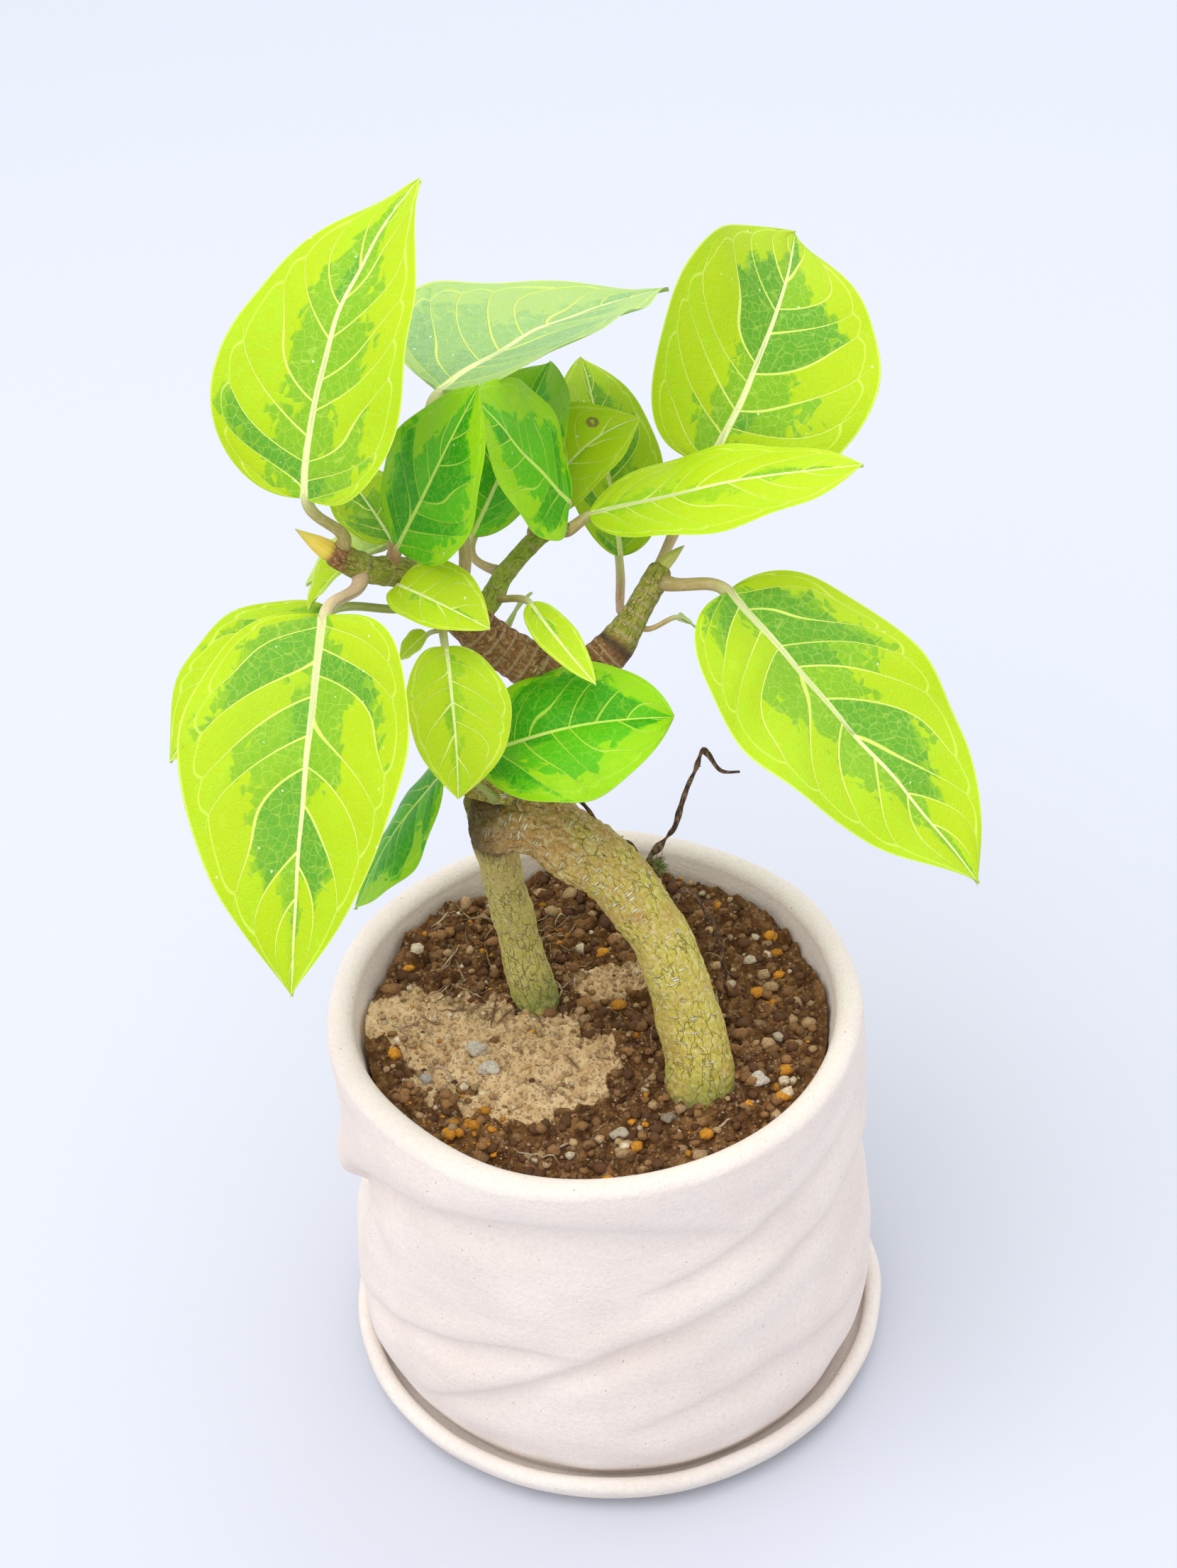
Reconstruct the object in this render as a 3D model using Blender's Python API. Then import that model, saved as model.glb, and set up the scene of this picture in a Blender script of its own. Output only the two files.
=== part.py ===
"""A young variegated fig grown as a small bonsai, in a draped clay pot that stands on its saucer.

All sizes below are in millimetres and are turned into metres where a mesh is made. +Z is up, and the
origin is the middle of the saucer's flat underside. The bent trunk and its prop root stand in the soil.
The trunk's knob carries a leader, the leader forks into two branches, and a twig grows from the left one.
Every leaf is one solid, its blade and its stalk together, and it hangs off the stem that it grew from.
"""

import math
from collections import namedtuple

import bmesh
import bpy
import numpy as np
from mathutils import Vector

MM = 0.001
GAP = 0.3  # clear space between two pieces that touch

# Saucer
SAUCER_RADIUS = 72.0
SAUCER_HEIGHT = 10.0
SAUCER_WALL = 4.6
SAUCER_FLOOR = 4.0
SAUCER_FOOT_RADIUS = 65.0

# Pot
POT_BOTTOM = SAUCER_FLOOR + GAP
POT_TOP = 115.7
POT_FOOT_RADIUS = 62.0
POT_BODY_RADIUS = 69.0
POT_BAND_RADIUS = 68.0
POT_LEAN = -2.75  # how far the rim's middle stands to the left of the foot's
RIM_INNER_RADIUS = 61.2
RIM_ROUND = 3.0
POT_INNER_FOOT_RADIUS = 54.0
POT_INNER_BODY_RADIUS = 57.5
POT_FLOOR = 8.0
DRAIN_RADIUS = 7.0
POT_SIDES = 56

# Drain mesh: a square of plastic screen over the drain hole, under the soil
MESH_SIDE = 26.0
MESH_THICKNESS = 1.2
MESH_HOLE = 4.0
MESH_PITCH = 7.0

# Soil
SOIL_TOP = 103.5
SOIL_BOTTOM = POT_BOTTOM + POT_FLOOR + GAP
SOIL_RINGS = 6
SOIL_CLEARANCE = 0.4
STEM_HOLE_CLEARANCE = 0.7

# Leaf blades
BLADE_ROWS = 8
BLADE_THICKNESS = 0.5
KEEL_DEPTH = 0.9
VEIN_SWEEP = 0.12
STALK_RINGS = 5

# Stems
TRUNK_SIDES = 14
STEM_SIDES = 10
TWIG_SIDES = 8
DOME_SHARE = 0.55  # height of a stem's domed end as a share of its radius
BURIED_RINGS = 6
PROP_ROOT_TOP_RADIUS = 4.6
LEADER_FOOT_RADIUS = 6.2
LEFT_FOOT_RADIUS = 5.0
RIGHT_FOOT_RADIUS = 4.4
MIDDLE_TWIG_NODE = (-28.0, 27.0, 215.0)
WIDE_GAP = 1.1  # clear space under the flat foot of a thick stem
TWIG_GAP = 1.1  # clear space under the flat foot of a twig
MOSS_RADIUS = 2.0
MOSS_GAP = 0.6
CUT_THROUGH = 1.0  # how far a cutter sticks out of what it cuts

# A fold in the pot's wall: (angle in degrees, height) points along its valley, its depth and half width
Fold = namedtuple("Fold", "valley depth half_width")
FOLDS = (
    Fold(((-225, 66), (-200, 62), (-173, 63), (-160, 78), (-140, 91), (-115, 97), (-88, 98), (-60, 88)), 4.4, 6.5),
    Fold(((-215, 64), (-190, 60), (-172, 60), (-148, 76)), 2.4, 7.0),
    Fold(((-140, 18), (-125, 30), (-95, 53), (-76, 63), (-53, 69), (-30, 75), (-8, 74), (25, 60)), 2.8, 5.0),
    Fold(((-85, 76), (-68, 81), (-53, 89), (-38, 93), (-15, 96)), 1.8, 4.0),
    Fold(((-90, 28), (-68, 34), (-40, 35), (-10, 28)), 1.6, 5.5),
    Fold(((-182, 24), (-162, 33), (-134, 45), (-113, 54), (-98, 55)), 1.6, 4.5),
    Fold(((15, 36), (45, 50), (85, 58), (125, 54)), 2.6, 5.0),
    Fold(((20, 88), (60, 95), (105, 88), (140, 78)), 3.2, 6.0),
    Fold(((70, 14), (110, 30), (150, 36), (185, 34)), 2.0, 5.0),
)

# Low mounds of the soil: (x, y, height, radius)
MOUNDS = (
    (23.0, -22.0, 1.4, 14.0),
    (-22.0, -14.0, 2.0, 22.0),
    (-17.0, 12.0, 1.0, 10.0),
    (0.0, 60.0, 7.5, 20.0),
    (-44.0, 42.0, 6.0, 18.0),
    (42.0, 42.0, 6.0, 18.0),
    (-62.0, 4.0, 5.0, 14.0),
    (60.0, 6.0, 4.0, 12.0),
)

# Routes of the woody stems: (x, y, z, radius)
TRUNK_ROUTE = (
    (25.0, -27.0, 76.0, 5.5),
    (24.0, -25.0, 90.0, 7.6),
    (23.0, -22.5, 103.0, 8.6),
    (21.5, -17.0, 117.0, 8.0),
    (16.0, -9.0, 138.0, 8.0),
    (7.0, -3.0, 153.0, 8.2),
    (-3.0, 2.0, 162.0, 8.4),
    (-15.0, 7.0, 168.5, 8.8),
    (-25.5, 11.5, 171.5, 9.0),
)
PROP_ROOT_ROUTE = (
    (-24.0, 16.5, 143.0, 5.1),
    (-21.0, 16.0, 122.0, 5.2),
    (-17.5, 11.5, 104.0, 5.8),
    (-15.0, 9.0, 90.0, 5.0),
    (-14.0, 8.0, 80.0, 3.6),
)
LEADER_ROUTE = (
    (-22.0, 17.0, 182.0, 6.9),
    (-15.0, 20.5, 189.0, 6.6),
    (-6.0, 23.0, 195.0, 6.3),
)
LEFT_BRANCH_ROUTE = (
    (-21.0, 26.0, 208.0, 5.3),
    (-28.0, 27.0, 215.0, 5.0),
    (-35.0, 27.0, 223.0, 4.2),
    (-43.0, 26.0, 231.0, 3.8),
    (-50.0, 19.5, 237.0, 3.3),
    (-57.0, 16.0, 244.0, 2.9),
)
RIGHT_BRANCH_ROUTE = (
    (3.0, 28.0, 201.0, 4.6),
    (7.0, 30.0, 204.0, 4.5),
    (12.0, 35.0, 209.0, 3.5),
    (16.5, 40.5, 213.5, 3.1),
    (18.5, 43.0, 216.0, 2.9),
)
MIDDLE_TWIG_ROUTE = (
    (-22.5, 34.0, 217.0, 2.8),
    (-19.0, 39.5, 220.0, 2.5),
    (-11.0, 46.5, 225.0, 2.3),
    (-5.0, 49.5, 227.0, 2.0),
)
# Dry rootlets that hang from the trunk's right flank, and the places in the trunk that they spring from
HIGH_KNOT = (7.0, -3.0, 153.0)
LOW_KNOT = (12.0, -6.0, 145.5)
TALL_ROOTLET_ROUTE = (
    (14.7, 6.0, 158.0, 0.8),
    (19.5, 8.5, 164.5, 0.8),
    (22.5, 12.5, 171.0, 0.7),
    (27.0, 17.0, 179.0, 0.7),
    (28.6, 15.5, 179.6, 0.6),
    (31.0, 13.5, 177.0, 0.5),
    (35.0, 12.0, 177.0, 0.4),
)
BACK_ROOTLET_ROUTE = (
    (9.0, 7.2, 158.0, 0.8),
    (4.5, 9.5, 160.0, 0.7),
    (-1.0, 13.0, 164.0, 0.7),
    (-5.0, 17.0, 169.0, 0.5),
)
RED_ROOTLET_ROUTE = (
    (20.0, 1.5, 149.0, 0.6),
    (22.5, 3.0, 146.0, 0.6),
    (25.5, 4.0, 139.0, 0.6),
    (28.0, 4.5, 124.0, 0.5),
    (29.5, 7.0, 110.0, 0.4),
)

# Pebbles on the soil: (x, y, radius, flatness)
PEBBLES = (
    (-33.0, -7.0, 2.6, 0.6),
    (-46.0, -16.0, 2.0, 0.7),
    (-30.0, -15.0, 2.4, 0.55),
    (37.0, -24.0, 2.4, 0.6),
    (14.0, -34.0, 1.8, 0.7),
    (2.0, -38.0, 2.2, 0.6),
)

# Each leaf grows from a stem, near the point "at", and its blade starts at "base". heading, pitch and roll
# turn the blade, in degrees. droop is how many degrees the midrib bends over its length and fold is how far
# each half is raised. taper, belly and lobe shape the outline: how long the point is, how much wider the
# base half is, and the depth of the notch at the stalk. bow bends the midrib sideways, and curl turns the
# margins down, as shares of the half width.
Leaf = namedtuple(
    "Leaf", "stem at base heading pitch roll length width droop fold taper belly lobe bow curl green"
)
LEAVES = {
    "leaf_crown_left": Leaf(
        "left_branch", (-58, 16, 245), (-62.5, 13, 262),
        61, 40, 11, 83, 55, 59, 7, 3.1, 0.45, 0.05, 0, -0.04, "lime",
    ),
    "leaf_big_left": Leaf(
        "left_branch", (-52, 18.5, 239), (-60, -1, 239),
        -99, -42, -20, 88, 61, 26, 12, 3.6, 0.28, 0.04, 2, -0.03, "lime",
    ),
    "leaf_dark_front": Leaf(
        "left_branch", (-46, 23, 233.5), (-43.5, 22.5, 240.5),
        1, 63, -32, 49, 35, 20, -9, 2.4, 0.05, 0, -1.9, -0.11, "deep",
    ),
    "leaf_crown_back": Leaf(
        "left_branch", (-33, 27, 220), (-32, 53.5, 264),
        48, -8, 8, 87, 58, 13, 8, 2.3, 0.4, 0, 2.8, -0.18, "lime",
    ),
    "leaf_crown_right": Leaf(
        "right_branch", (20, 45, 218), (33, 77, 224.5),
        67, 23, -38, 77.5, 60, 59, 6, 3.8, 0.09, 0.15, 0.5, -0.18, "lime",
    ),
    "leaf_folded_centre": Leaf(
        "middle_twig", (-11, 46.5, 225), (-2.5, 53, 231),
        -138, 57, 54, 51.5, 36, 2, -6, 3.9, 0.02, 0.15, 0.8, -0.15, "lime",
    ),
    "leaf_dark_back": Leaf(
        "middle_twig", (-19, 39.5, 220), (-27, 57, 219.5),
        64, 25, 10, 54.5, 36, 41, 18, 4.1, 0.19, 0.02, -3.5, 0.07, "deep",
    ),
    "leaf_spotted_yellow": Leaf(
        "middle_twig", (-11, 46.5, 225), (-10, 68.5, 218),
        25, 33, -17, 34.5, 27, 24, 13, 3.2, -0.09, 0.02, 3.6, -0.11, "yellow",
    ),
    "leaf_back_right": Leaf(
        "right_branch", (12, 35, 209), (9.5, 69, 203),
        98, 28, -18, 60, 31, 33, 22, 3.6, 0.03, 0, 0.9, 0.18, "lime",
    ),
    "leaf_long_right": Leaf(
        "middle_twig", (-5, 49.5, 227), (2, 52.5, 227.5),
        -2, 10, 1, 68, 38, 12, -3, 2.6, -0.13, 0, 0, 0, "yellow",
    ),
    "leaf_big_right": Leaf(
        "right_branch", (17.5, 42, 214.5), (35, 33.5, 216),
        -48, -29, 7, 93, 65, 2, 8, 3.1, 0.1, 0.04, 0.5, 0.06, "lime",
    ),
    "leaf_tiny_right": Leaf(
        "right_branch", (11, 34, 208), (23, 35.5, 207.5),
        28, -51, 0, 8.5, 6, 20, 8, 3, 0.1, 0, 0, 0, "pale",
    ),
    "leaf_green_centre": Leaf(
        "leader", (-18, 19.5, 186), (-27, 2, 193.5),
        1, 10, -15, 49, 43.5, 51, 20, 6, -0.03, 0, -0.9, 0.44, "deep",
    ),
    "leaf_narrow_centre": Leaf(
        "middle_twig", (-22.5, 34, 217), (-13, 25.5, 221),
        -62, -9, -1, 31.5, 10.5, 9, 7, 2.9, 0.08, 0, -0.7, 0.04, "yellow",
    ),
    "leaf_heart_front": Leaf(
        "left_branch", (-35, 27, 223), (-33, 6.5, 223),
        -87, -40, 22, 36.5, 27, 15, 15, 3.4, -0.06, 0.04, 0, -0.06, "lime",
    ),
    "leaf_small_yellow": Leaf(
        "left_branch", (-39, 26.5, 227), (-43.5, 19, 232.5),
        -37, -5, -18, 27, 19.5, 29, 18, 3.4, 0, 0.07, -0.6, -0.08, "yellow",
    ),
    "leaf_far_left": Leaf(
        "left_branch", (-37, 27, 225), (-61, 24, 223),
        -149, -29, -6, 53, 33, 30, 6, 3.1, -0.1, 0, -1.2, -0.13, "lime",
    ),
    "leaf_pale_left": Leaf(
        "left_branch", (-35, 27, 223), (-47.5, 38, 231),
        174, -31, -1, 24, 16.5, 43, 18, 3.2, 0.1, 0.1, 2.2, -0.1, "pale",
    ),
    "leaf_folded_left": Leaf(
        "left_branch", (-48, 21, 235.5), (-52.5, 25, 238),
        -174, -47, 0, 20, 14, 20, 20, 3, 0.1, 0.03, 0, 0, "yellow",
    ),
    "leaf_low_behind": Leaf(
        "trunk", (-25.5, 11.5, 171.5), (-36.5, 8, 184.5),
        -166, -56, -9, 45, 29, 19, 5, 3, 0.1, 0, 0, 0.29, "deep",
    ),
    "leaf_tiny_left": Leaf(
        "left_branch", (-31, 27, 218), (-38, 18.5, 218.5),
        -163, -39, 0, 9.5, 8, 20, 8, 3, 0.1, 0.03, 0, 0, "yellow",
    ),
    "leaf_pale_upright": Leaf(
        "left_branch", (-21, 26, 208), (-20.5, 34.5, 205),
        58, 16, 60, 15, 9, 20, 8, 3, 0.1, 0, 0, 0, "pale",
    ),
    "leaf_round_small": Leaf(
        "leader", (-6, 23, 195), (-9.5, 31.5, 196),
        161, 22, 0, 11, 9, 20, 8, 3, 0, 0, 0, 0, "lime",
    ),
    "leaf_yellow_left": Leaf(
        "left_branch", (-45, 24.5, 232.5), (-45, 31, 237),
        122, 21, 0, 26, 20, 20, 8, 3, 0.1, 0.03, 0, 0, "lime",
    ),
}

# Finishes: colour, roughness
PAINTS = {
    "pot_clay": ((0.80, 0.74, 0.71), 0.85),
    "saucer_clay": ((0.82, 0.77, 0.73), 0.85),
    "mesh_plastic": ((0.05, 0.05, 0.05), 0.6),
    "soil": ((0.16, 0.09, 0.05), 0.95),
    "bark": ((0.30, 0.26, 0.09), 0.8),
    "brown_bark": ((0.18, 0.09, 0.04), 0.8),
    "green_bark": ((0.22, 0.28, 0.05), 0.6),
    "rootlet": ((0.10, 0.05, 0.03), 0.8),
    "bud": ((0.75, 0.55, 0.08), 0.5),
    "pebble": ((0.62, 0.56, 0.47), 0.8),
    "moss": ((0.12, 0.16, 0.04), 0.95),
    "lime": ((0.42, 0.68, 0.05), 0.35),
    "deep": ((0.10, 0.42, 0.04), 0.35),
    "yellow": ((0.55, 0.75, 0.07), 0.35),
    "pale": ((0.55, 0.72, 0.35), 0.5),
}


def clear_scene():
    for thing in list(bpy.data.objects):
        bpy.data.objects.remove(thing, do_unlink=True)


def paint(name):
    """The Principled material of one of PAINTS, made once."""
    if name in bpy.data.materials:
        return bpy.data.materials[name]
    colour, roughness = PAINTS[name]
    material = bpy.data.materials.new(name)
    material.use_nodes = True
    shader = material.node_tree.nodes["Principled BSDF"]
    shader.inputs["Base Color"].default_value = (*colour, 1.0)
    shader.inputs["Roughness"].default_value = roughness
    shader.inputs["Metallic"].default_value = 0.0
    return material


def finish(bm, name, paint_name, smooth_angle=40.0):
    """Turns a bmesh in millimetres into a named object in metres."""
    bmesh.ops.recalc_face_normals(bm, faces=bm.faces)
    bmesh.ops.scale(bm, vec=(MM, MM, MM), verts=bm.verts)
    mesh = bpy.data.meshes.new(name)
    bm.to_mesh(mesh)
    bm.free()
    mesh.shade_smooth()
    mesh.set_sharp_from_angle(angle=math.radians(smooth_angle))
    mesh.materials.append(paint(paint_name))
    thing = bpy.data.objects.new(name, mesh)
    bpy.context.collection.objects.link(thing)
    return thing


def smooth_route(points, per_span=4):
    """A Catmull-Rom curve through points, whose columns are all carried along."""
    knots = np.array(points, dtype=float)
    knots = np.vstack([2 * knots[0] - knots[1], knots, 2 * knots[-1] - knots[-2]])
    t = np.linspace(0.0, 1.0, per_span, endpoint=False)[:, None]
    spans = []
    for a, b, c, d in zip(knots, knots[1:], knots[2:], knots[3:]):
        square = (2 * a - 5 * b + 4 * c - d) * t**2
        cube = (3 * b - a - 3 * c + d) * t**3
        spans.append((2 * b + (c - a) * t + square + cube) / 2)
    spans.append(knots[-2][None, :])
    return np.vstack(spans)


def unit(vector):
    return vector / np.linalg.norm(vector)


def skin(bm, rings, start_tip=None, end_tip=None, flat=False):
    """Walls between rings of equal size. An end is closed by a fan to its tip, or by one flat face.

    A flat ring's first half lies over its second half. The two are split along the same diagonals there, so
    that the thin wall between them keeps its thickness where it is twisted.
    """
    loops = [[bm.verts.new(point) for point in ring] for ring in rings]
    size = len(loops[0])
    for here, there in zip(loops, loops[1:]):
        for i in range(size):
            j = (i + 1) % size
            if flat and i >= size // 2:
                halves = ((here[i], here[j], there[i]), (here[j], there[j], there[i]))
            else:
                halves = ((here[i], here[j], there[j]), (here[i], there[j], there[i]))
            for corners in halves:
                bm.faces.new(corners)
    for loop, tip in ((loops[0], start_tip), (loops[-1], end_tip)):
        if tip is None:
            bm.faces.new(loop)
            continue
        point = bm.verts.new(tip)
        for i in range(size):
            bm.faces.new((loop[i], loop[(i + 1) % size], point))


def tube_rings(path, sides, first_direction=None):
    """Circles of radius path[:, 3] round the line path[:, :3], each turned as little as it can be."""
    line = path[:, :3]
    tangents = np.gradient(line, axis=0)
    if first_direction is not None:
        tangents[0] = first_direction
    side = np.cross(tangents[0], (0.0, 0.0, 1.0))
    if np.linalg.norm(side) < 1e-6:
        side = np.array((1.0, 0.0, 0.0))
    angles = np.arange(sides) * 2 * math.pi / sides
    rings = []
    for middle, tangent, radius in zip(line, tangents, path[:, 3]):
        tangent = unit(tangent)
        side = unit(side - tangent * side.dot(tangent))
        other = np.cross(tangent, side)
        rings.append(middle + radius * (np.outer(np.cos(angles), side) + np.outer(np.sin(angles), other)))
    return rings


def rounded_end(path):
    """The path with two more rings that close its far end as a dome, and the dome's tip."""
    end, before = path[-1], path[-2]
    onward = unit(end[:3] - before[:3])
    radius = end[3]
    height = radius * DOME_SHARE
    extra = [np.append(end[:3] + onward * height * h, radius * r) for h, r in ((0.5, 0.87), (0.87, 0.5))]
    return np.vstack([path, extra]), end[:3] + onward * height


def grafted(carrier, near, toward, reach=GAP):
    """The point on a carrier's skin that faces a place, and the direction out of the skin there."""
    i = int(np.argmin(np.linalg.norm(carrier[:, :3] - near, axis=1)))
    axis = unit(np.gradient(carrier[:, :3], axis=0)[i])
    out = np.asarray(toward, dtype=float) - carrier[i, :3]
    out = unit(out - axis * out.dot(axis))
    return carrier[i, :3] + out * (carrier[i, 3] + reach), out


def stem(name, path, sides, paint_name, first_direction=None, round_start=False):
    """A woody stem with a domed far end."""
    bm = bmesh.new()
    whole, tip = rounded_end(path)
    start_tip = None
    if round_start:
        reversed_whole, start_tip = rounded_end(whole[::-1])
        whole = reversed_whole[::-1]
    skin(bm, tube_rings(whole, sides, first_direction), start_tip=start_tip, end_tip=tip)
    return finish(bm, name, paint_name)


def grafted_path(route, start, radius, per_span=3):
    """A route that begins on a carrier's skin at start with a given radius."""
    return smooth_route([(*start, radius), *route], per_span)


# ---------------------------------------------------------------------------------------------- pot


def turned(name, profile, sides, paint_name):
    """A closed profile of (radius, height) points that starts and ends on the axis, spun round Z."""
    bm = bmesh.new()
    angles = np.arange(sides) * 2 * math.pi / sides
    circle = np.stack([np.cos(angles), np.sin(angles)], axis=1)
    rings = [np.column_stack([circle * radius, np.full(sides, height)]) for radius, height in profile[1:-1]]
    skin(bm, rings, start_tip=(0.0, 0.0, profile[0][1]), end_tip=(0.0, 0.0, profile[-1][1]))
    return finish(bm, name, paint_name)


def build_saucer():
    """A shallow dish: a flat foot, an undercut wall with a round lip, and a flat floor that carries the pot."""
    lip = SAUCER_WALL / 2
    lip_middle = SAUCER_RADIUS - lip
    profile = [(0.0, 0.0), (SAUCER_FOOT_RADIUS, 0.0), (SAUCER_RADIUS - 2.0, 3.5), (SAUCER_RADIUS, 7.0)]
    for step in range(1, 6):
        angle = math.radians(180.0 * step / 6)
        profile.append((lip_middle + lip * math.cos(angle), SAUCER_HEIGHT - lip + lip * math.sin(angle)))
    profile += [(lip_middle - lip, 6.5), (lip_middle - lip - 1.2, SAUCER_FLOOR), (0.0, SAUCER_FLOOR)]
    return turned("saucer", profile, POT_SIDES, "saucer_clay")


def fold_depth(angles, height):
    """How far the folds draw the pot's wall in at one height, for an array of angles in degrees."""
    total = np.zeros_like(angles)
    for fold in FOLDS:
        valley = smooth_route(fold.valley, 6)
        first, last = valley[0, 0], valley[-1, 0]
        along = (angles - first) % 360.0
        span = last - first
        inside = along < span
        line = np.interp(along, valley[:, 0] - first, valley[:, 1])
        fade = np.sin(np.clip(along / span, 0.0, 1.0) * math.pi) ** 0.5
        total += inside * fade * fold.depth * np.exp(-(((height - line) / fold.half_width) ** 2))
    return total


def pot_body_radius(height):
    """The pot's radius without its folds: a body that swells out over the saucer, and a band at the rim."""
    heights = (POT_BOTTOM, 9.0, 22.0, 40.0, 60.0, 82.0, 98.0, 110.0, POT_TOP)
    radii = (
        POT_FOOT_RADIUS,
        POT_FOOT_RADIUS + 3.6,
        POT_BODY_RADIUS + 0.4,
        POT_BODY_RADIUS + 0.4,
        POT_BODY_RADIUS - 1.0,
        POT_BAND_RADIUS - 0.6,
        POT_BAND_RADIUS,
        POT_BAND_RADIUS + 0.3,
        POT_BAND_RADIUS,
    )
    return float(np.interp(height, heights, radii))


def pot_ring(radii, height):
    """A ring of points at one height, moved with the pot's lean."""
    angles = np.arange(POT_SIDES) * 2 * math.pi / POT_SIDES
    lean = POT_LEAN * (height - POT_BOTTOM) / (POT_TOP - POT_BOTTOM)
    ones = np.full(POT_SIDES, height)
    return np.column_stack([lean + radii * np.cos(angles), radii * np.sin(angles), ones])


def build_pot():
    """A thrown pot with spiral drape folds, a round lip, a thick floor and a drain hole."""
    degrees = np.arange(POT_SIDES) * 360.0 / POT_SIDES
    rings = [pot_ring(np.full(POT_SIDES, DRAIN_RADIUS), POT_BOTTOM)]
    rings.append(pot_ring(np.full(POT_SIDES, POT_FOOT_RADIUS), POT_BOTTOM))
    for height in (8.0, 18.0, 28.0, 37.0, 46.0, 55.0, 64.0, 73.0, 81.0, 88.0, 95.0, 103.0):
        rings.append(pot_ring(pot_body_radius(height) - fold_depth(degrees, height), height))
    lip_inner = RIM_INNER_RADIUS
    lip_height = POT_TOP - RIM_ROUND
    lip_middle = (POT_BAND_RADIUS + lip_inner) / 2
    lip_half = (POT_BAND_RADIUS - lip_inner) / 2
    for step in range(6):
        angle = math.radians(180.0 * step / 5)
        radii = np.full(POT_SIDES, lip_middle + lip_half * math.cos(angle))
        rings.append(pot_ring(radii, lip_height + RIM_ROUND * math.sin(angle)))
    for height, radius in ((100.0, 58.5), (88.0, POT_INNER_BODY_RADIUS), (40.0, POT_INNER_BODY_RADIUS)):
        rings.append(pot_ring(np.full(POT_SIDES, radius), height))
    floor = POT_BOTTOM + POT_FLOOR
    rings.append(pot_ring(np.full(POT_SIDES, POT_INNER_FOOT_RADIUS), floor))
    rings.append(pot_ring(np.full(POT_SIDES, DRAIN_RADIUS), floor))
    bm = bmesh.new()
    loops = [[bm.verts.new(point) for point in ring] for ring in rings]
    for here, there in zip(loops, loops[1:] + loops[:1]):
        for i in range(POT_SIDES):
            j = (i + 1) % POT_SIDES
            bm.faces.new((here[i], here[j], there[j], there[i]))
    return finish(bm, "pot", "pot_clay", 50.0)


def inner_radius(height):
    """The radius of the pot's inside at one height."""
    heights = (POT_BOTTOM + POT_FLOOR, 40.0, 88.0, 100.0, POT_TOP - RIM_ROUND)
    radii = (POT_INNER_FOOT_RADIUS, POT_INNER_BODY_RADIUS, POT_INNER_BODY_RADIUS, 58.5, RIM_INNER_RADIUS)
    return float(np.interp(height, heights, radii))


def as_cutter(thing):
    thing.hide_render = True
    thing.display_type = "WIRE"
    return thing


def cut(thing, tool):
    """A Boolean difference that stays on the object."""
    modifier = thing.modifiers.new(tool.name, "BOOLEAN")
    modifier.operation = "DIFFERENCE"
    modifier.solver = "EXACT"
    modifier.object = tool


def block(name, low, high, paint_name):
    bm = bmesh.new()
    bmesh.ops.create_cube(bm, size=1.0)
    low, high = Vector(low), Vector(high)
    bmesh.ops.scale(bm, vec=high - low, verts=bm.verts)
    bmesh.ops.translate(bm, vec=(low + high) / 2, verts=bm.verts)
    return finish(bm, name, paint_name)


def build_drain_mesh():
    """A thin square screen with a grid of holes, lying on the pot's floor over the drain hole."""
    bottom = SOIL_BOTTOM
    half = MESH_SIDE / 2
    screen = block(
        "drain_mesh", (-half, -half, bottom), (half, half, bottom + MESH_THICKNESS), "mesh_plastic"
    )
    hole_half = MESH_HOLE / 2
    for row in (-1, 0, 1):
        for column in (-1, 0, 1):
            x, y = column * MESH_PITCH, row * MESH_PITCH
            low = (x - hole_half, y - hole_half, bottom - CUT_THROUGH)
            high = (x + hole_half, y + hole_half, bottom + MESH_THICKNESS + CUT_THROUGH)
            cut(screen, as_cutter(block(f"mesh_hole_{row + 2}{column + 2}", low, high, "mesh_plastic")))
    return screen


# --------------------------------------------------------------------------------------------- soil


def soil_height(x, y):
    """The soil's surface: a level with a few low mounds."""
    height = SOIL_TOP
    for middle_x, middle_y, rise, radius in MOUNDS:
        height += rise * math.exp(-((x - middle_x) ** 2 + (y - middle_y) ** 2) / radius**2)
    return height


def build_soil(stem_cutters):
    """The soil that fills the pot, with a recess for the drain mesh and a hole for each buried stem."""
    sides = POT_SIDES
    angles = np.arange(sides) * 2 * math.pi / sides
    rings = []
    for height in (SOIL_BOTTOM, 40.0, 88.0, 98.0):
        rings.append(pot_ring(np.full(sides, inner_radius(height) - SOIL_CLEARANCE), height))
    lean = POT_LEAN * (SOIL_TOP - POT_BOTTOM) / (POT_TOP - POT_BOTTOM)
    outer = inner_radius(SOIL_TOP) - SOIL_CLEARANCE
    for ring in range(SOIL_RINGS, 0, -1):
        radius = outer * ring / SOIL_RINGS
        x = lean + radius * np.cos(angles)
        y = radius * np.sin(angles)
        z = [soil_height(a, b) for a, b in zip(x, y)]
        rings.append(np.column_stack([x, y, z]))
    bm = bmesh.new()
    skin(bm, rings, start_tip=(0.0, 0.0, SOIL_BOTTOM), end_tip=(lean, 0.0, soil_height(lean, 0.0)))
    soil = finish(bm, "soil", "soil", 60.0)
    half = MESH_SIDE / 2 + SOIL_CLEARANCE
    low = (-half, -half, SOIL_BOTTOM - CUT_THROUGH)
    high = (half, half, SOIL_BOTTOM + MESH_THICKNESS + GAP)
    cut(soil, as_cutter(block("mesh_recess", low, high, "soil")))
    for tool in stem_cutters:
        cut(soil, tool)
    return soil


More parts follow.
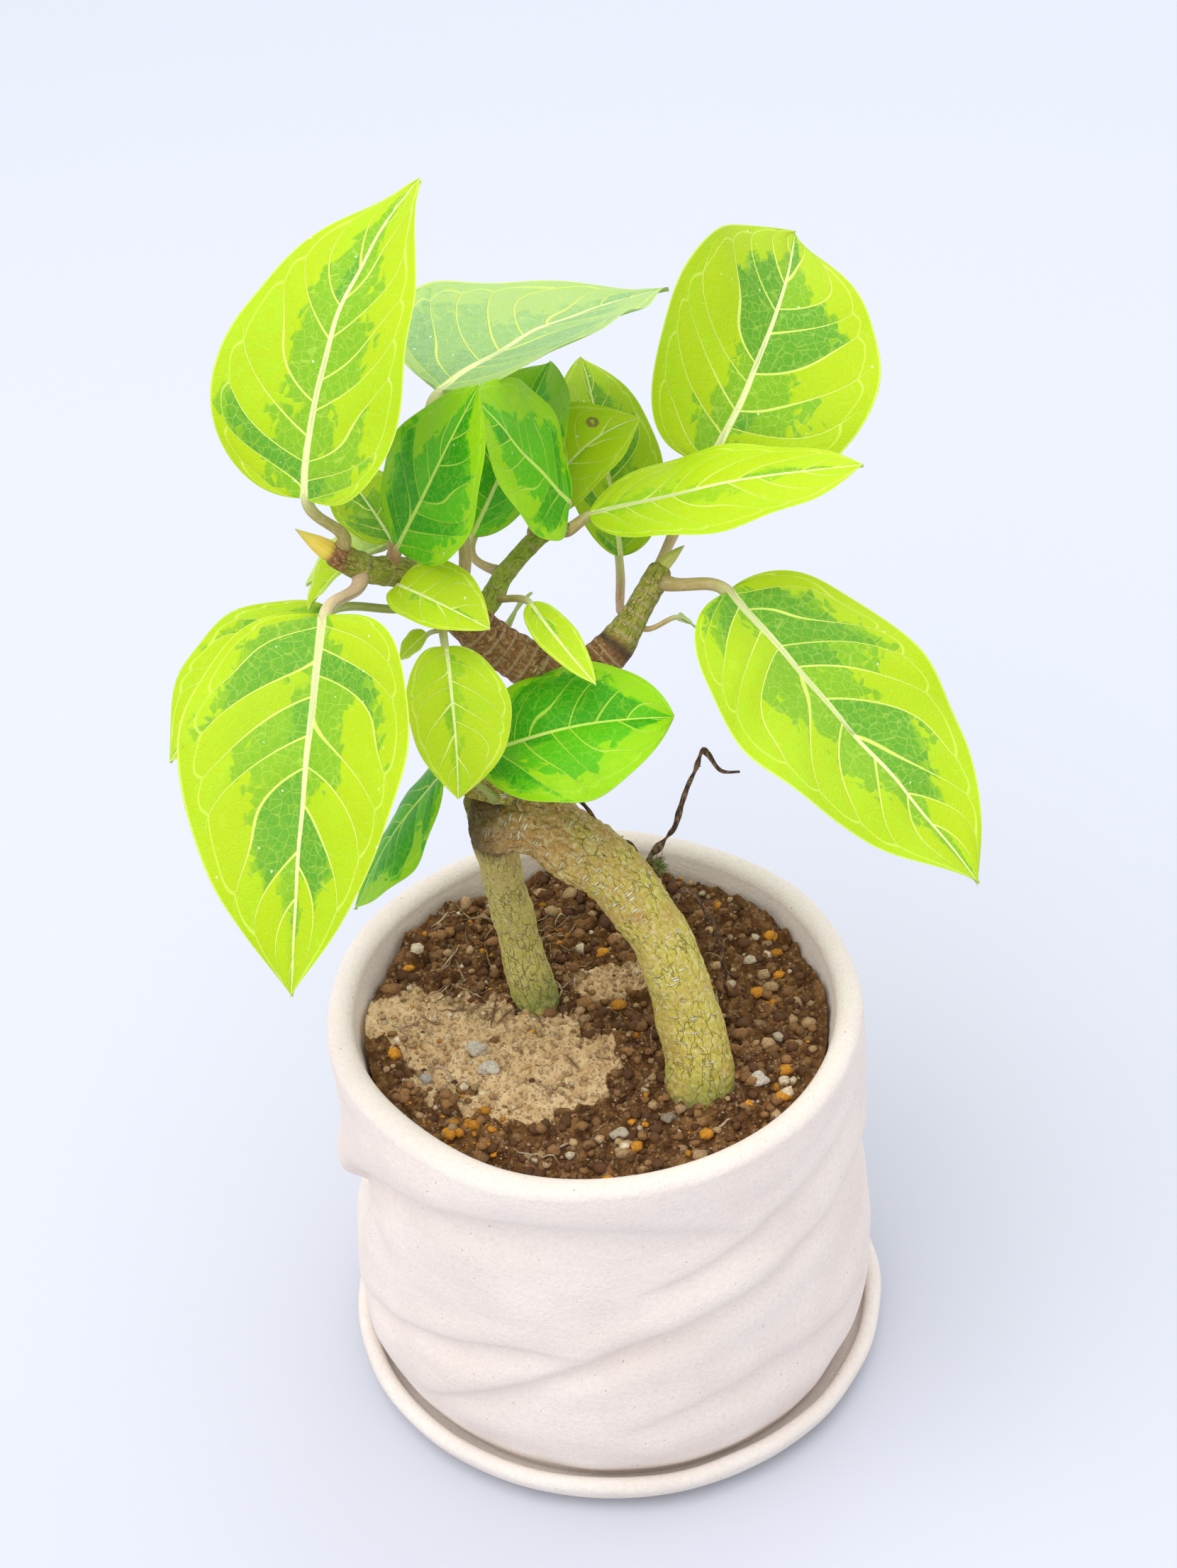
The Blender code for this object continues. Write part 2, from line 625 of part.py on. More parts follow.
def build_pebbles():
    """Flattened small stones that lie on the soil."""
    for number, (x, y, radius, flatness) in enumerate(PEBBLES, start=1):
        bm = bmesh.new()
        bmesh.ops.create_icosphere(bm, subdivisions=1, radius=radius)
        bmesh.ops.scale(bm, vec=(1.0, 0.85, flatness), verts=bm.verts)
        top = max(soil_height(x + dx, y + dy) for dx in (-radius, 0, radius) for dy in (-radius, 0, radius))
        bmesh.ops.translate(bm, vec=(x, y, top + radius * flatness + GAP), verts=bm.verts)
        finish(bm, f"pebble_{number}", "pebble")


# -------------------------------------------------------------------------------------------- stems


def stem_hole(name, path, sides):
    """A cutter that is a little fatter than a stem."""
    fat = path.copy()
    fat[:, 3] += STEM_HOLE_CLEARANCE
    return as_cutter(stem(name, fat, sides, "bark", round_start=True))


def build_stems():
    """The trunk, its prop root, the leader and the branches. Gives each one's path for the leaves."""
    trunk = smooth_route(TRUNK_ROUTE, 2)
    knob = trunk[-1, :3]
    stem("trunk", trunk, TRUNK_SIDES, "bark", round_start=True)

    root_top, down = grafted(trunk, knob, PROP_ROOT_ROUTE[0][:3], WIDE_GAP)
    prop = grafted_path(PROP_ROOT_ROUTE, root_top, PROP_ROOT_TOP_RADIUS, 2)
    stem("prop_root", prop, STEM_SIDES, "bark", down)

    leader_foot, up = grafted(trunk, knob, LEADER_ROUTE[0][:3], WIDE_GAP)
    leader = grafted_path(LEADER_ROUTE, leader_foot, LEADER_FOOT_RADIUS)
    stem("leader", leader, STEM_SIDES, "bark", up)

    fork = leader[-1, :3]
    start, out = grafted(leader, fork, LEFT_BRANCH_ROUTE[0][:3], WIDE_GAP)
    left = grafted_path(LEFT_BRANCH_ROUTE, start, LEFT_FOOT_RADIUS)
    stem("left_branch", left, STEM_SIDES, "brown_bark", out)

    out = unit(np.array(RIGHT_BRANCH_ROUTE[0][:3]) - fork)
    start = fork + out * (leader[-1, 3] * DOME_SHARE + WIDE_GAP)
    right = grafted_path(RIGHT_BRANCH_ROUTE, start, RIGHT_FOOT_RADIUS)
    stem("right_branch", right, STEM_SIDES, "brown_bark", out)

    start, out = grafted(left, MIDDLE_TWIG_NODE, MIDDLE_TWIG_ROUTE[0][:3], TWIG_GAP)
    twig = grafted_path(MIDDLE_TWIG_ROUTE, start, MIDDLE_TWIG_ROUTE[0][3])
    stem("middle_twig", twig, TWIG_SIDES, "green_bark", out)
    return {
        "trunk": trunk,
        "prop_root": prop,
        "leader": leader,
        "left_branch": left,
        "right_branch": right,
        "middle_twig": twig,
    }


def build_buds(paths):
    """A pointed bud beyond the end of each branch."""
    for name, carrier, length, radius, aim in (
        ("left_bud", "left_branch", 11.0, 2.2, (-0.78, 0.1, 0.62)),
        ("right_bud", "right_branch", 8.5, 1.7, (0.72, 0.15, 0.68)),
    ):
        path = paths[carrier]
        onward = unit(path[-1, :3] - path[-2, :3])
        start = path[-1, :3] + onward * (path[-1, 3] * DOME_SHARE + GAP)
        aim = unit(np.array(aim))
        shape = []
        for share, girth in ((0.0, 0.75), (0.2, 1.0), (0.5, 0.75), (0.8, 0.32)):
            bend = onward * (1.0 - share) * 0.3 + aim * (0.7 + 0.3 * share)
            shape.append((*(start + bend * length * share), radius * girth))
        shape = np.array(shape)
        bm = bmesh.new()
        skin(bm, tube_rings(shape, 8, onward), end_tip=start + aim * length)
        finish(bm, name, "bud")


def build_rootlets(trunk):
    """Dry rootlets that spring from the trunk's flank, and the tuft of moss at their foot."""
    for name, route, knot in (
        ("rootlet_tall", TALL_ROOTLET_ROUTE, HIGH_KNOT),
        ("rootlet_back", BACK_ROOTLET_ROUTE, HIGH_KNOT),
        ("rootlet_red", RED_ROOTLET_ROUTE, LOW_KNOT),
    ):
        start, out = grafted(trunk, knot, route[0][:3])
        path = grafted_path(route, start, 0.8, 3)
        stem(name, path, 6, "rootlet", out)
    bm = bmesh.new()
    bmesh.ops.create_icosphere(bm, subdivisions=1, radius=MOSS_RADIUS)
    foot, _ = grafted(trunk, HIGH_KNOT, (12.0, 2.0, 159.0), MOSS_RADIUS + MOSS_GAP)
    bmesh.ops.translate(bm, vec=foot, verts=bm.verts)
    finish(bm, "moss_tuft", "moss")


# ------------------------------------------------------------------------------------------- leaves


def leaf_axes(leaf):
    """The blade's forward, sideways and upward directions."""
    heading, pitch, roll = (math.radians(angle) for angle in (leaf.heading, leaf.pitch, leaf.roll))
    forward = np.array(
        (math.cos(pitch) * math.cos(heading), math.cos(pitch) * math.sin(heading), math.sin(pitch))
    )
    up = np.array(
        (-math.sin(pitch) * math.cos(heading), -math.sin(pitch) * math.sin(heading), math.cos(pitch))
    )
    side = np.cross(up, forward)
    return (
        forward,
        side * math.cos(roll) - up * math.sin(roll),
        up * math.cos(roll) + side * math.sin(roll),
    )


def blade_rows(leaf, rows):
    """Midrib place, margin place and half width of each row, as shares of the leaf's length and width."""

    def raw(angle):
        along = (1 - np.cos(angle)) / 2
        return np.sin(angle) * (1 + leaf.belly * np.cos(angle)) * np.sqrt(np.clip(1 - along**leaf.taper, 0, 1))

    angle = np.arange(1, rows) * math.pi / rows
    along = (1 - np.cos(angle)) / 2
    width = raw(angle) / raw(np.linspace(0.0, math.pi, 200)).max()
    margin = along - leaf.lobe * width * (1 - along) ** 4
    midrib = along - VEIN_SWEEP * np.sin(math.pi * along)
    return midrib, margin, width


def blade_point(leaf, axes, along, across):
    """A point of the blade's upper side, and the direction out of it. across is in millimetres."""
    forward, side, up = axes
    bend = math.radians(max(abs(leaf.droop), 0.5))
    angle = bend / 2 - bend * along
    x = leaf.length * (math.sin(bend / 2) - math.sin(angle)) / bend
    z = leaf.length * (math.cos(angle) - math.cos(bend / 2)) / bend
    normal = up * math.cos(angle) - forward * math.sin(angle)
    fold = math.radians(leaf.fold)
    half = leaf.width / 2
    lift = abs(across) * math.sin(fold) - leaf.curl * (across / half) ** 2 * half
    sideways = across * math.cos(fold) + leaf.bow * 4 * along * (1 - along)
    point = np.array(leaf.base) + x * forward + z * up + sideways * side + lift * normal
    return point, normal


def blade_rings(leaf, axes):
    """Eight-point rings across the blade: five points on top from margin to margin, then three below."""
    rings = []
    for midrib, margin, width in zip(*blade_rows(leaf, BLADE_ROWS)):
        top, bottom = [], []
        for share in (-1.0, -0.5, 0.0, 0.5, 1.0):
            along = midrib + abs(share) ** 1.5 * (margin - midrib)
            point, normal = blade_point(leaf, axes, along, share * width * leaf.width / 2)
            top.append(point)
            if abs(share) < 1.0:
                keel = KEEL_DEPTH * (1 - along) if share == 0.0 else 0.0
                bottom.append(point - normal * (BLADE_THICKNESS + keel))
        rings.append(top + bottom[::-1])
    return rings


def stalk_rings(leaf, axes, carrier):
    """Rings of the stalk, from the carrier's skin to the base of the blade."""
    base, normal = blade_point(leaf, axes, 0.0, 0.0)
    near_base, _ = blade_point(leaf, axes, 0.02, 0.0)
    arrive = unit(near_base - base)
    radius = 0.5 + 0.011 * leaf.length
    start, out = grafted(carrier, leaf.at, base)
    end = base - normal * radius * 0.6
    reach = 0.35 * np.linalg.norm(end - start)
    knots = (start, start + out * reach, end - arrive * reach, end)
    rings, side = [], axes[1]
    for step in range(STALK_RINGS, -1, -1):
        t = step / STALK_RINGS
        a, b, c, d = knots
        middle = a * (1 - t) ** 3 + 3 * b * t * (1 - t) ** 2 + 3 * c * t**2 * (1 - t) + d * t**3
        tangent = unit((b - a) * (1 - t) ** 2 + 2 * (c - b) * t * (1 - t) + (d - c) * t**2)
        side = unit(side - tangent * side.dot(tangent))
        over = np.cross(tangent, side)
        ring = []
        for degrees in (180, 135, 90, 45, 0, -45, -90, -135):
            angle = math.radians(degrees)
            ring.append(middle + radius * (math.cos(angle) * side + math.sin(angle) * over))
        rings.append(ring)
    return rings[::-1]


def build_leaf(name, leaf, carrier):
    axes = leaf_axes(leaf)
    tip, _ = blade_point(leaf, axes, 1.0, 0.0)
    bm = bmesh.new()
    skin(bm, stalk_rings(leaf, axes, carrier) + blade_rings(leaf, axes), end_tip=tip, flat=True)
    return finish(bm, name, leaf.green, 60.0)


def main():
    clear_scene()
    build_saucer()
    build_pot()
    build_drain_mesh()
    paths = build_stems()
    trunk, prop = paths["trunk"], paths["prop_root"]
    trunk_hole = stem_hole("trunk_hole", trunk[:BURIED_RINGS], TRUNK_SIDES)
    prop_hole = stem_hole("prop_root_hole", prop[::-1][:BURIED_RINGS], STEM_SIDES)
    build_soil((trunk_hole, prop_hole))
    build_pebbles()
    build_buds(paths)
    build_rootlets(trunk)
    for name, leaf in LEAVES.items():
        build_leaf(name, leaf, paths[leaf.stem])


main()
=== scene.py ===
"""Looks of a small variegated fig grown as a bonsai, in a draped clay pot that stands on its saucer.

Sizes are in millimetres and become metres where a mesh is made. The origin is the middle of the saucer's
underside, +Z is up and -Y is the front. Every surface is worked out with numpy as rings of points, and every
finish is a node material that reads object coordinates or values stored on the surface's own points.
"""

import logging
import math
from dataclasses import dataclass, field
from enum import Enum

import bpy
import numpy as np
from mathutils import Matrix


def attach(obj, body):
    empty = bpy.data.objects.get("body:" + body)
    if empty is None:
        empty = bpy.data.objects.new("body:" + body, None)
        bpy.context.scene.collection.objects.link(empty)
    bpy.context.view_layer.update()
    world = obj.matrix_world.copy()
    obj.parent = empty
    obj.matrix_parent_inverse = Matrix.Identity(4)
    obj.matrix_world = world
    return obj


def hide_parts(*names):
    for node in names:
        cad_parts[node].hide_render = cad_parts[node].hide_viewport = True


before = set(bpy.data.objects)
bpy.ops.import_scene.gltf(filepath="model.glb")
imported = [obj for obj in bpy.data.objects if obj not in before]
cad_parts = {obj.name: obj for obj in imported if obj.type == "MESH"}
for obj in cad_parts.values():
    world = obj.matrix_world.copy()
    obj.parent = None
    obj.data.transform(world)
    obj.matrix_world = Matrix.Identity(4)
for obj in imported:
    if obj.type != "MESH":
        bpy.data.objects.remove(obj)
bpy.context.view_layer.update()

MM = 0.001
LOG = logging.getLogger("fig")
UP = np.array([0.0, 0.0, 1.0])
Colour = tuple[float, float, float]
Point = tuple[float, float, float]
ATTRIBUTE_KINDS = {1: ("FLOAT", "value"), 3: ("FLOAT_VECTOR", "vector"), 4: ("FLOAT_COLOR", "color")}
Socket = bpy.types.NodeSocket
Feed = bpy.types.NodeSocket | float | Colour


# ------------------------------------------------------------------------------------------ surfaces


@dataclass
class Surface:
    """One or more closed shells: points in millimetres, faces, and named values on the points."""

    points: np.ndarray
    faces: list[np.ndarray]
    values: dict[str, np.ndarray] = field(default_factory=dict)

    def joined(self, *others: "Surface") -> "Surface":
        """This surface and others as one mesh. A value that one of them lacks is zero there.

        Args:
            *others: the other surfaces.

        Returns:
            The surface of them all.
        """
        parts = [self, *others]
        names = {name: value.shape[1:] for part in parts for name, value in part.values.items()}
        values = {}
        for name, shape in names.items():
            columns = [part.values.get(name, np.zeros((len(part.points), *shape))) for part in parts]
            values[name] = np.concatenate(columns)
        starts = np.cumsum([0] + [len(part.points) for part in parts])
        faces = [face + start for part, start in zip(parts, starts) for face in part.faces]
        return Surface(np.concatenate([part.points for part in parts]), faces, values)

    def volume(self) -> float:
        """The signed volume: a sixth of the sum of a . (b x c) over the triangles of all faces.

        Returns:
            The volume in cubic millimetres, negative where the faces point inwards.
        """
        total = 0.0
        for face in self.faces:
            corners = self.points[face]
            for k in range(1, face.shape[1] - 1):
                cross = np.cross(corners[:, k], corners[:, k + 1])
                total += np.einsum("ij,ij->", corners[:, 0], cross) / 6.0
        return total

    def outward(self) -> "Surface":
        """The same shell with its faces pointing out."""
        if self.volume() < 0:
            self.faces = [face[:, ::-1] for face in self.faces]
        return self

    def mesh_object(self, name: str, material: bpy.types.Material) -> bpy.types.Object:
        """Makes the object.

        Args:
            name: name of the object and its mesh.
            material: its one material.

        Returns:
            The object, at the origin, with its values as attributes.
        """
        mesh = bpy.data.meshes.new(name)
        faces = [corners for face in self.faces for corners in face.tolist()]
        mesh.from_pydata((self.points * MM).tolist(), [], faces)
        mesh.shade_smooth()
        for label, value in self.values.items():
            width = value.shape[1] if value.ndim > 1 else 1
            kind, slot = ATTRIBUTE_KINDS[width]
            attribute = mesh.attributes.new(label, kind, "POINT")
            attribute.data.foreach_set(slot, value.astype(np.float32).ravel())
        mesh.materials.append(material)
        thing = bpy.data.objects.new(name, mesh)
        bpy.context.scene.collection.objects.link(thing)
        return thing


def shell(
    rings: np.ndarray,
    start: np.ndarray | None = None,
    end: np.ndarray | None = None,
    **values: np.ndarray,
) -> Surface:
    """Closes a grid of rings into a shell: quads between rings, and a fan to a pole at each end.

    Args:
        rings: points as (rows, columns, 3). The columns wrap round.
        start: the first ring's pole, or None where the last ring joins the first, as on a torus.
        end: the last ring's pole.
        **values: named values, as (rows, columns) or (rows, columns, width). A pole takes its ring's mean.

    Returns:
        The shell, facing out.
    """
    rows, columns = rings.shape[:2]
    wraps = start is None
    i, j = np.meshgrid(np.arange(rows if wraps else rows - 1), np.arange(columns), indexing="ij")
    down, right = (i + 1) % rows, (j + 1) % columns
    quads = np.stack([i * columns + j, i * columns + right, down * columns + right, down * columns + j], -1)
    faces = [quads.reshape(-1, 4)]
    points = rings.reshape(-1, 3)
    stored = {name: value.reshape(rows * columns, *value.shape[2:]) for name, value in values.items()}
    if not wraps:
        here = np.arange(columns)
        there = (here + 1) % columns
        first_pole, last_pole = rows * columns, rows * columns + 1
        last = (rows - 1) * columns
        faces.append(np.stack([there, here, np.full(columns, first_pole)], -1))
        faces.append(np.stack([last + here, last + there, np.full(columns, last_pole)], -1))
        points = np.vstack([points, start, end])
        for name, value in values.items():
            ends = np.stack([value[0].mean(axis=0), value[-1].mean(axis=0)])
            stored[name] = np.concatenate([stored[name], ends])
    return Surface(points, faces, stored).outward()


class Grain:
    """A smooth random field: the mean of plane waves in random directions, each with a random phase."""

    def __init__(self, seed: int, waves: int = 26) -> None:
        """Draws the waves.

        Args:
            seed: seed of the random draws.
            waves: how many waves.
        """
        rng = np.random.default_rng(seed)
        directions = rng.normal(size=(waves, 3))
        self.directions = directions / np.linalg.norm(directions, axis=1)[:, None]
        self.phases = rng.uniform(0, 2 * math.pi, waves)
        self.stretch = rng.uniform(0.7, 1.5, waves)

    def at(self, points: np.ndarray, wavelength: float) -> np.ndarray:
        """The field, about -1 to 1: sum of sin(2 pi (p . d) / (w x stretch) + phase) / sqrt(waves / 2)."""
        turns = (points @ self.directions.T) / (wavelength * self.stretch)
        return np.sin(2 * math.pi * turns + self.phases).sum(axis=-1) / math.sqrt(len(self.phases) / 2)


def unit(vectors: np.ndarray) -> np.ndarray:
    """Vectors scaled to length 1."""
    return vectors / np.linalg.norm(vectors, axis=-1, keepdims=True)


def smooth_route(knots: np.ndarray, per_span: int) -> np.ndarray:
    """A Catmull-Rom curve: each span is (2b + (c-a)t + (2a-5b+4c-d)t^2 + (3b-a-3c+d)t^3) / 2.

    Args:
        knots: points (n, width), whose columns are all carried along.
        per_span: points made on each span.

    Returns:
        The curve's points, the last knot included.
    """
    knots = np.asarray(knots, float)
    whole = np.vstack([2 * knots[0] - knots[1], knots, 2 * knots[-1] - knots[-2]])
    t = np.linspace(0, 1, per_span, endpoint=False)[None, :, None]
    a, b, c, d = (whole[k : len(whole) - 3 + k, None, :] for k in range(4))
    spans = (2 * b + (c - a) * t + (2 * a - 5 * b + 4 * c - d) * t**2 + (3 * b - a - 3 * c + d) * t**3) / 2
    return np.vstack([spans.reshape(-1, knots.shape[1]), knots[-1:]])


def travelled(line: np.ndarray) -> np.ndarray:
    """Distance along a line of points, in millimetres."""
    return np.concatenate([[0.0], np.cumsum(np.linalg.norm(np.diff(line, axis=0), axis=1))])


def smoothstep(value: np.ndarray, low: float, high: float) -> np.ndarray:
    """0 below low, 1 above high, and 3x^2 - 2x^3 between."""
    x = np.clip((value - low) / (high - low), 0, 1)
    return x * x * (3 - 2 * x)


def ring_frames(line: np.ndarray, reference: np.ndarray) -> tuple[np.ndarray, np.ndarray, np.ndarray]:
    """The tangent, and two directions across it, at each point of a line.

    Args:
        line: points (n, 3).
        reference: a direction that the line never follows. The side is its part across the line.

    Returns:
        Tangents, sides and overs, each (n, 3).
    """
    tangents = unit(np.gradient(line, axis=0))
    side = unit(reference - tangents * (tangents @ reference)[:, None])
    return tangents, side, np.cross(tangents, side)


def circle(angles: np.ndarray) -> np.ndarray:
    """Directions (cos a, sin a, 0) for each angle a."""
    return np.stack([np.cos(angles), np.sin(angles), 0 * angles], -1)


def evenly(count: int) -> np.ndarray:
    """Angles spread evenly round a turn, without the last."""
    return np.arange(count) * 2 * math.pi / count


def spokes(side: np.ndarray, over: np.ndarray, angles: np.ndarray) -> np.ndarray:
    """Directions side cos a + over sin a round each point of a line, as (points, angles, 3)."""
    return side[:, None] * np.cos(angles)[None, :, None] + over[:, None] * np.sin(angles)[None, :, None]


def ball_grid(rows: int, columns: int) -> np.ndarray:
    """A unit ball without its poles: (sin p cos a, sin p sin a, cos p), as (rows - 1, columns, 3).

    Args:
        rows: steps from pole to pole.
        columns: points per ring.

    Returns:
        The points, ring by ring.
    """
    polar = (np.arange(1, rows) * math.pi / rows)[:, None]
    turn = evenly(columns)[None, :]
    return np.stack(
        [np.sin(polar) * np.cos(turn), np.sin(polar) * np.sin(turn), np.cos(polar) + 0 * turn], -1
    )


def ridges(run: np.ndarray, places: tuple[float, ...], width: float) -> np.ndarray:
    """The sum of exp(-((run - place x length) / width)^2) over places given as shares of the length."""
    return sum((np.exp(-(((run - s * run[-1]) / width) ** 2)) for s in places), np.zeros_like(run))


# ------------------------------------------------------------------------------------------- shading


class Bench:
    """Adds and joins the shader nodes of one material."""

    def __init__(self, name: str) -> None:
        """Starts an empty material with a Principled shader.

        Args:
            name: name of the material.
        """
        self.material = bpy.data.materials.new(name)
        self.material.use_nodes = True
        self.tree = self.material.node_tree
        self.shader = self.tree.nodes["Principled BSDF"]

    def node(self, kind: str, **settings: object) -> bpy.types.Node:
        """A new node with the given properties.

        Args:
            kind: type of the node.
            **settings: its properties.

        Returns:
            The node.
        """
        made = self.tree.nodes.new(kind)
        for name, value in settings.items():
            setattr(made, name, value)
        return made

    def join(self, source: Feed, socket: Socket) -> None:
        """Feeds a socket from another socket, or sets it to a number or colour.

        Args:
            source: what feeds it.
            socket: the input.
        """
        if isinstance(source, bpy.types.NodeSocket):
            self.tree.links.new(source, socket)
        elif isinstance(source, tuple) and len(source) == 3 and socket.type == "RGBA":
            socket.default_value = (*source, 1.0)
        else:
            socket.default_value = source

    def math(self, operation: str, a: Feed, b: Feed = 0.0) -> Socket:
        """The result of a Math node.

        Args:
            operation: what the node does.
            a: first input.
            b: second input, unused by operations on one.

        Returns:
            The result.
        """
        made = self.node("ShaderNodeMath", operation=operation)
        self.join(a, made.inputs[0])
        self.join(b, made.inputs[1])
        return made.outputs[0]

    def ease(self, value: Feed, low: float, high: float, start: float = 0.0, end: float = 1.0) -> Socket:
        """A smooth step of a value from start at low to end at high.

        Args:
            value: the value.
            low: where the step begins.
            high: where it ends. It may lie under low.
            start: result up to low.
            end: result from high on.

        Returns:
            The stepped value.
        """
        made = self.node("ShaderNodeMapRange", interpolation_type="SMOOTHSTEP")
        for socket, number in zip(made.inputs, (value, low, high, start, end)):
            self.join(number, socket)
        return made.outputs[0]

    def mix(self, factor: Feed, a: Feed, b: Feed) -> Socket:
        """Two colours mixed.

        Args:
            factor: share of the second.
            a: first colour.
            b: second colour.

        Returns:
            The colour.
        """
        made = self.node("ShaderNodeMix", data_type="RGBA")
        self.join(factor, made.inputs[0])
        self.join(a, made.inputs[6])
        self.join(b, made.inputs[7])
        return made.outputs[2]

    def place(self) -> Socket:
        """Object coordinates, in metres."""
        return self.node("ShaderNodeTexCoord").outputs["Object"]

    def stretched(self, vector: Socket, scale: Point) -> Socket:
        """A vector scaled on each axis.

        Args:
            vector: the vector.
            scale: factor on each axis.

        Returns:
            The scaled vector.
        """
        made = self.node("ShaderNodeMapping")
        self.join(vector, made.inputs["Vector"])
        made.inputs["Scale"].default_value = scale
        return made.outputs[0]

    def stored(self, name: str, output: str = "Fac") -> Socket:
        """A value stored on the surface: output is Fac, Vector or Color."""
        return self.node("ShaderNodeAttribute", attribute_name=name).outputs[output]

    def split(self, vector: Socket) -> tuple[Socket, Socket, Socket]:
        """The three parts of a vector.

        Args:
            vector: the vector or colour.

        Returns:
            Its parts.
        """
        made = self.node("ShaderNodeSeparateXYZ")
        self.join(vector, made.inputs[0])
        return tuple(made.outputs)

    def noise(self, vector: Socket, scale: float, detail: float = 3.0, roughness: float = 0.55) -> Socket:
        """Fractal noise, 0 to 1, about 0.5.

        Args:
            vector: where it is read.
            scale: waves per unit.
            detail: octaves.
            roughness: share that each octave keeps.

        Returns:
            The noise.
        """
        made = self.node("ShaderNodeTexNoise")
        self.join(vector, made.inputs["Vector"])
        made.inputs["Scale"].default_value = scale
        made.inputs["Detail"].default_value = detail
        made.inputs["Roughness"].default_value = roughness
        return made.outputs["Fac"]

    def cells(self, vector: Socket, scale: float, feature: str = "F1", output: str = "Distance") -> Socket:
        """One output of a Voronoi texture.

        Args:
            vector: where it is read.
            scale: cells per unit.
            feature: F1 for the distance to a cell's middle, DISTANCE_TO_EDGE for that to its edge.
            output: Distance, or Color for a random colour per cell.

        Returns:
            That output.
        """
        made = self.node("ShaderNodeTexVoronoi", feature=feature)
        self.join(vector, made.inputs["Vector"])
        made.inputs["Scale"].default_value = scale
        return made.outputs[output]

    def dice(self, x: Socket, y: Socket) -> tuple[Socket, Socket]:
        """A random number and colour for each pair of whole numbers.

        Args:
            x: first number.
            y: second number.

        Returns:
            The number and the colour.
        """
        pair = self.node("ShaderNodeCombineXYZ")
        self.join(x, pair.inputs[0])
        self.join(y, pair.inputs[1])
        made = self.node("ShaderNodeTexWhiteNoise", noise_dimensions="2D")
        self.join(pair.outputs[0], made.inputs["Vector"])
        return made.outputs["Value"], made.outputs["Color"]

    def bump(
        self, height: Socket, distance: float, strength: float = 1.0, under: Socket | None = None
    ) -> Socket:
        """A normal from a height, with the distance in metres that a height of 1 stands for.

        Args:
            height: the height.
            distance: metres for a height of 1.
            strength: share of the effect.
            under: a normal that this one adds to.

        Returns:
            The normal.
        """
        made = self.node("ShaderNodeBump")
        made.inputs["Strength"].default_value = strength
        made.inputs["Distance"].default_value = distance
        self.join(height, made.inputs["Height"])
        if under is not None:
            self.join(under, made.inputs["Normal"])
        return made.outputs[0]

    def dress(
        self, colour: Feed, roughness: Feed, normal: Socket | None = None, **constants: float
    ) -> bpy.types.Material:
        """Joins the results to the shader.

        Args:
            colour: socket or colour.
            roughness: socket or number.
            normal: socket.
            **constants: shader inputs with spaces as underscores, set as plain numbers.

        Returns:
            The material.
        """
        self.join(colour, self.shader.inputs["Base Color"])
        self.join(roughness, self.shader.inputs["Roughness"])
        if normal is not None:
            self.join(normal, self.shader.inputs["Normal"])
        for name, value in constants.items():
            self.shader.inputs[name.replace("_", " ")].default_value = value
        return self.material


@dataclass(frozen=True)
class ClayFinish:
    """Unglazed off-white clay: sandy grain, faint throwing marks and small dark specks."""

    name: str
    body: Colour
    shade: Colour
    speck: Colour = (0.13, 0.12, 0.115)
    speck_share: float = 0.13
    roughness: float = 0.82

    SPECKS = ((420.0, 0.13), (950.0, 0.17))
    THROWING_MARKS = (60.0, 60.0, 260.0)

    def material(self) -> bpy.types.Material:
        """The node material.

        Returns:
            The material.
        """
        b = Bench(self.name)
        place = b.place()
        cloud = b.noise(place, 28.0, 4.0)
        grain = b.noise(place, 900.0, 3.0, 0.7)
        colour = b.mix(b.ease(cloud, 0.35, 0.68), self.body, self.shade)
        colour = b.mix(b.ease(grain, 0.3, 0.75, 0.0, 0.28), colour, tuple(c * 0.72 for c in self.shade))
        for scale, size in self.SPECKS:
            distance = b.cells(place, scale)
            chosen = b.split(b.cells(place, scale, output="Color"))[0]
            dot = b.ease(distance, size, size * 0.45)
            dot = b.math("MULTIPLY", dot, b.ease(chosen, self.speck_share, self.speck_share * 0.7))
            colour = b.mix(b.math("MULTIPLY", dot, 0.6), colour, self.speck)
        pits = b.cells(place, 1100.0)
        height = b.math("ADD", b.math("MULTIPLY", grain, 0.8), b.math("MULTIPLY", pits, 0.5))
        normal = b.bump(height, 0.00022, 0.8)
        normal = b.bump(b.noise(b.stretched(place, self.THROWING_MARKS), 1.0, 4.0), 0.0006, 0.5, normal)
        rough = b.ease(grain, 0.2, 0.8, self.roughness - 0.08, self.roughness + 0.1)
        return b.dress(colour, rough, normal, Specular_IOR_Level=0.28)


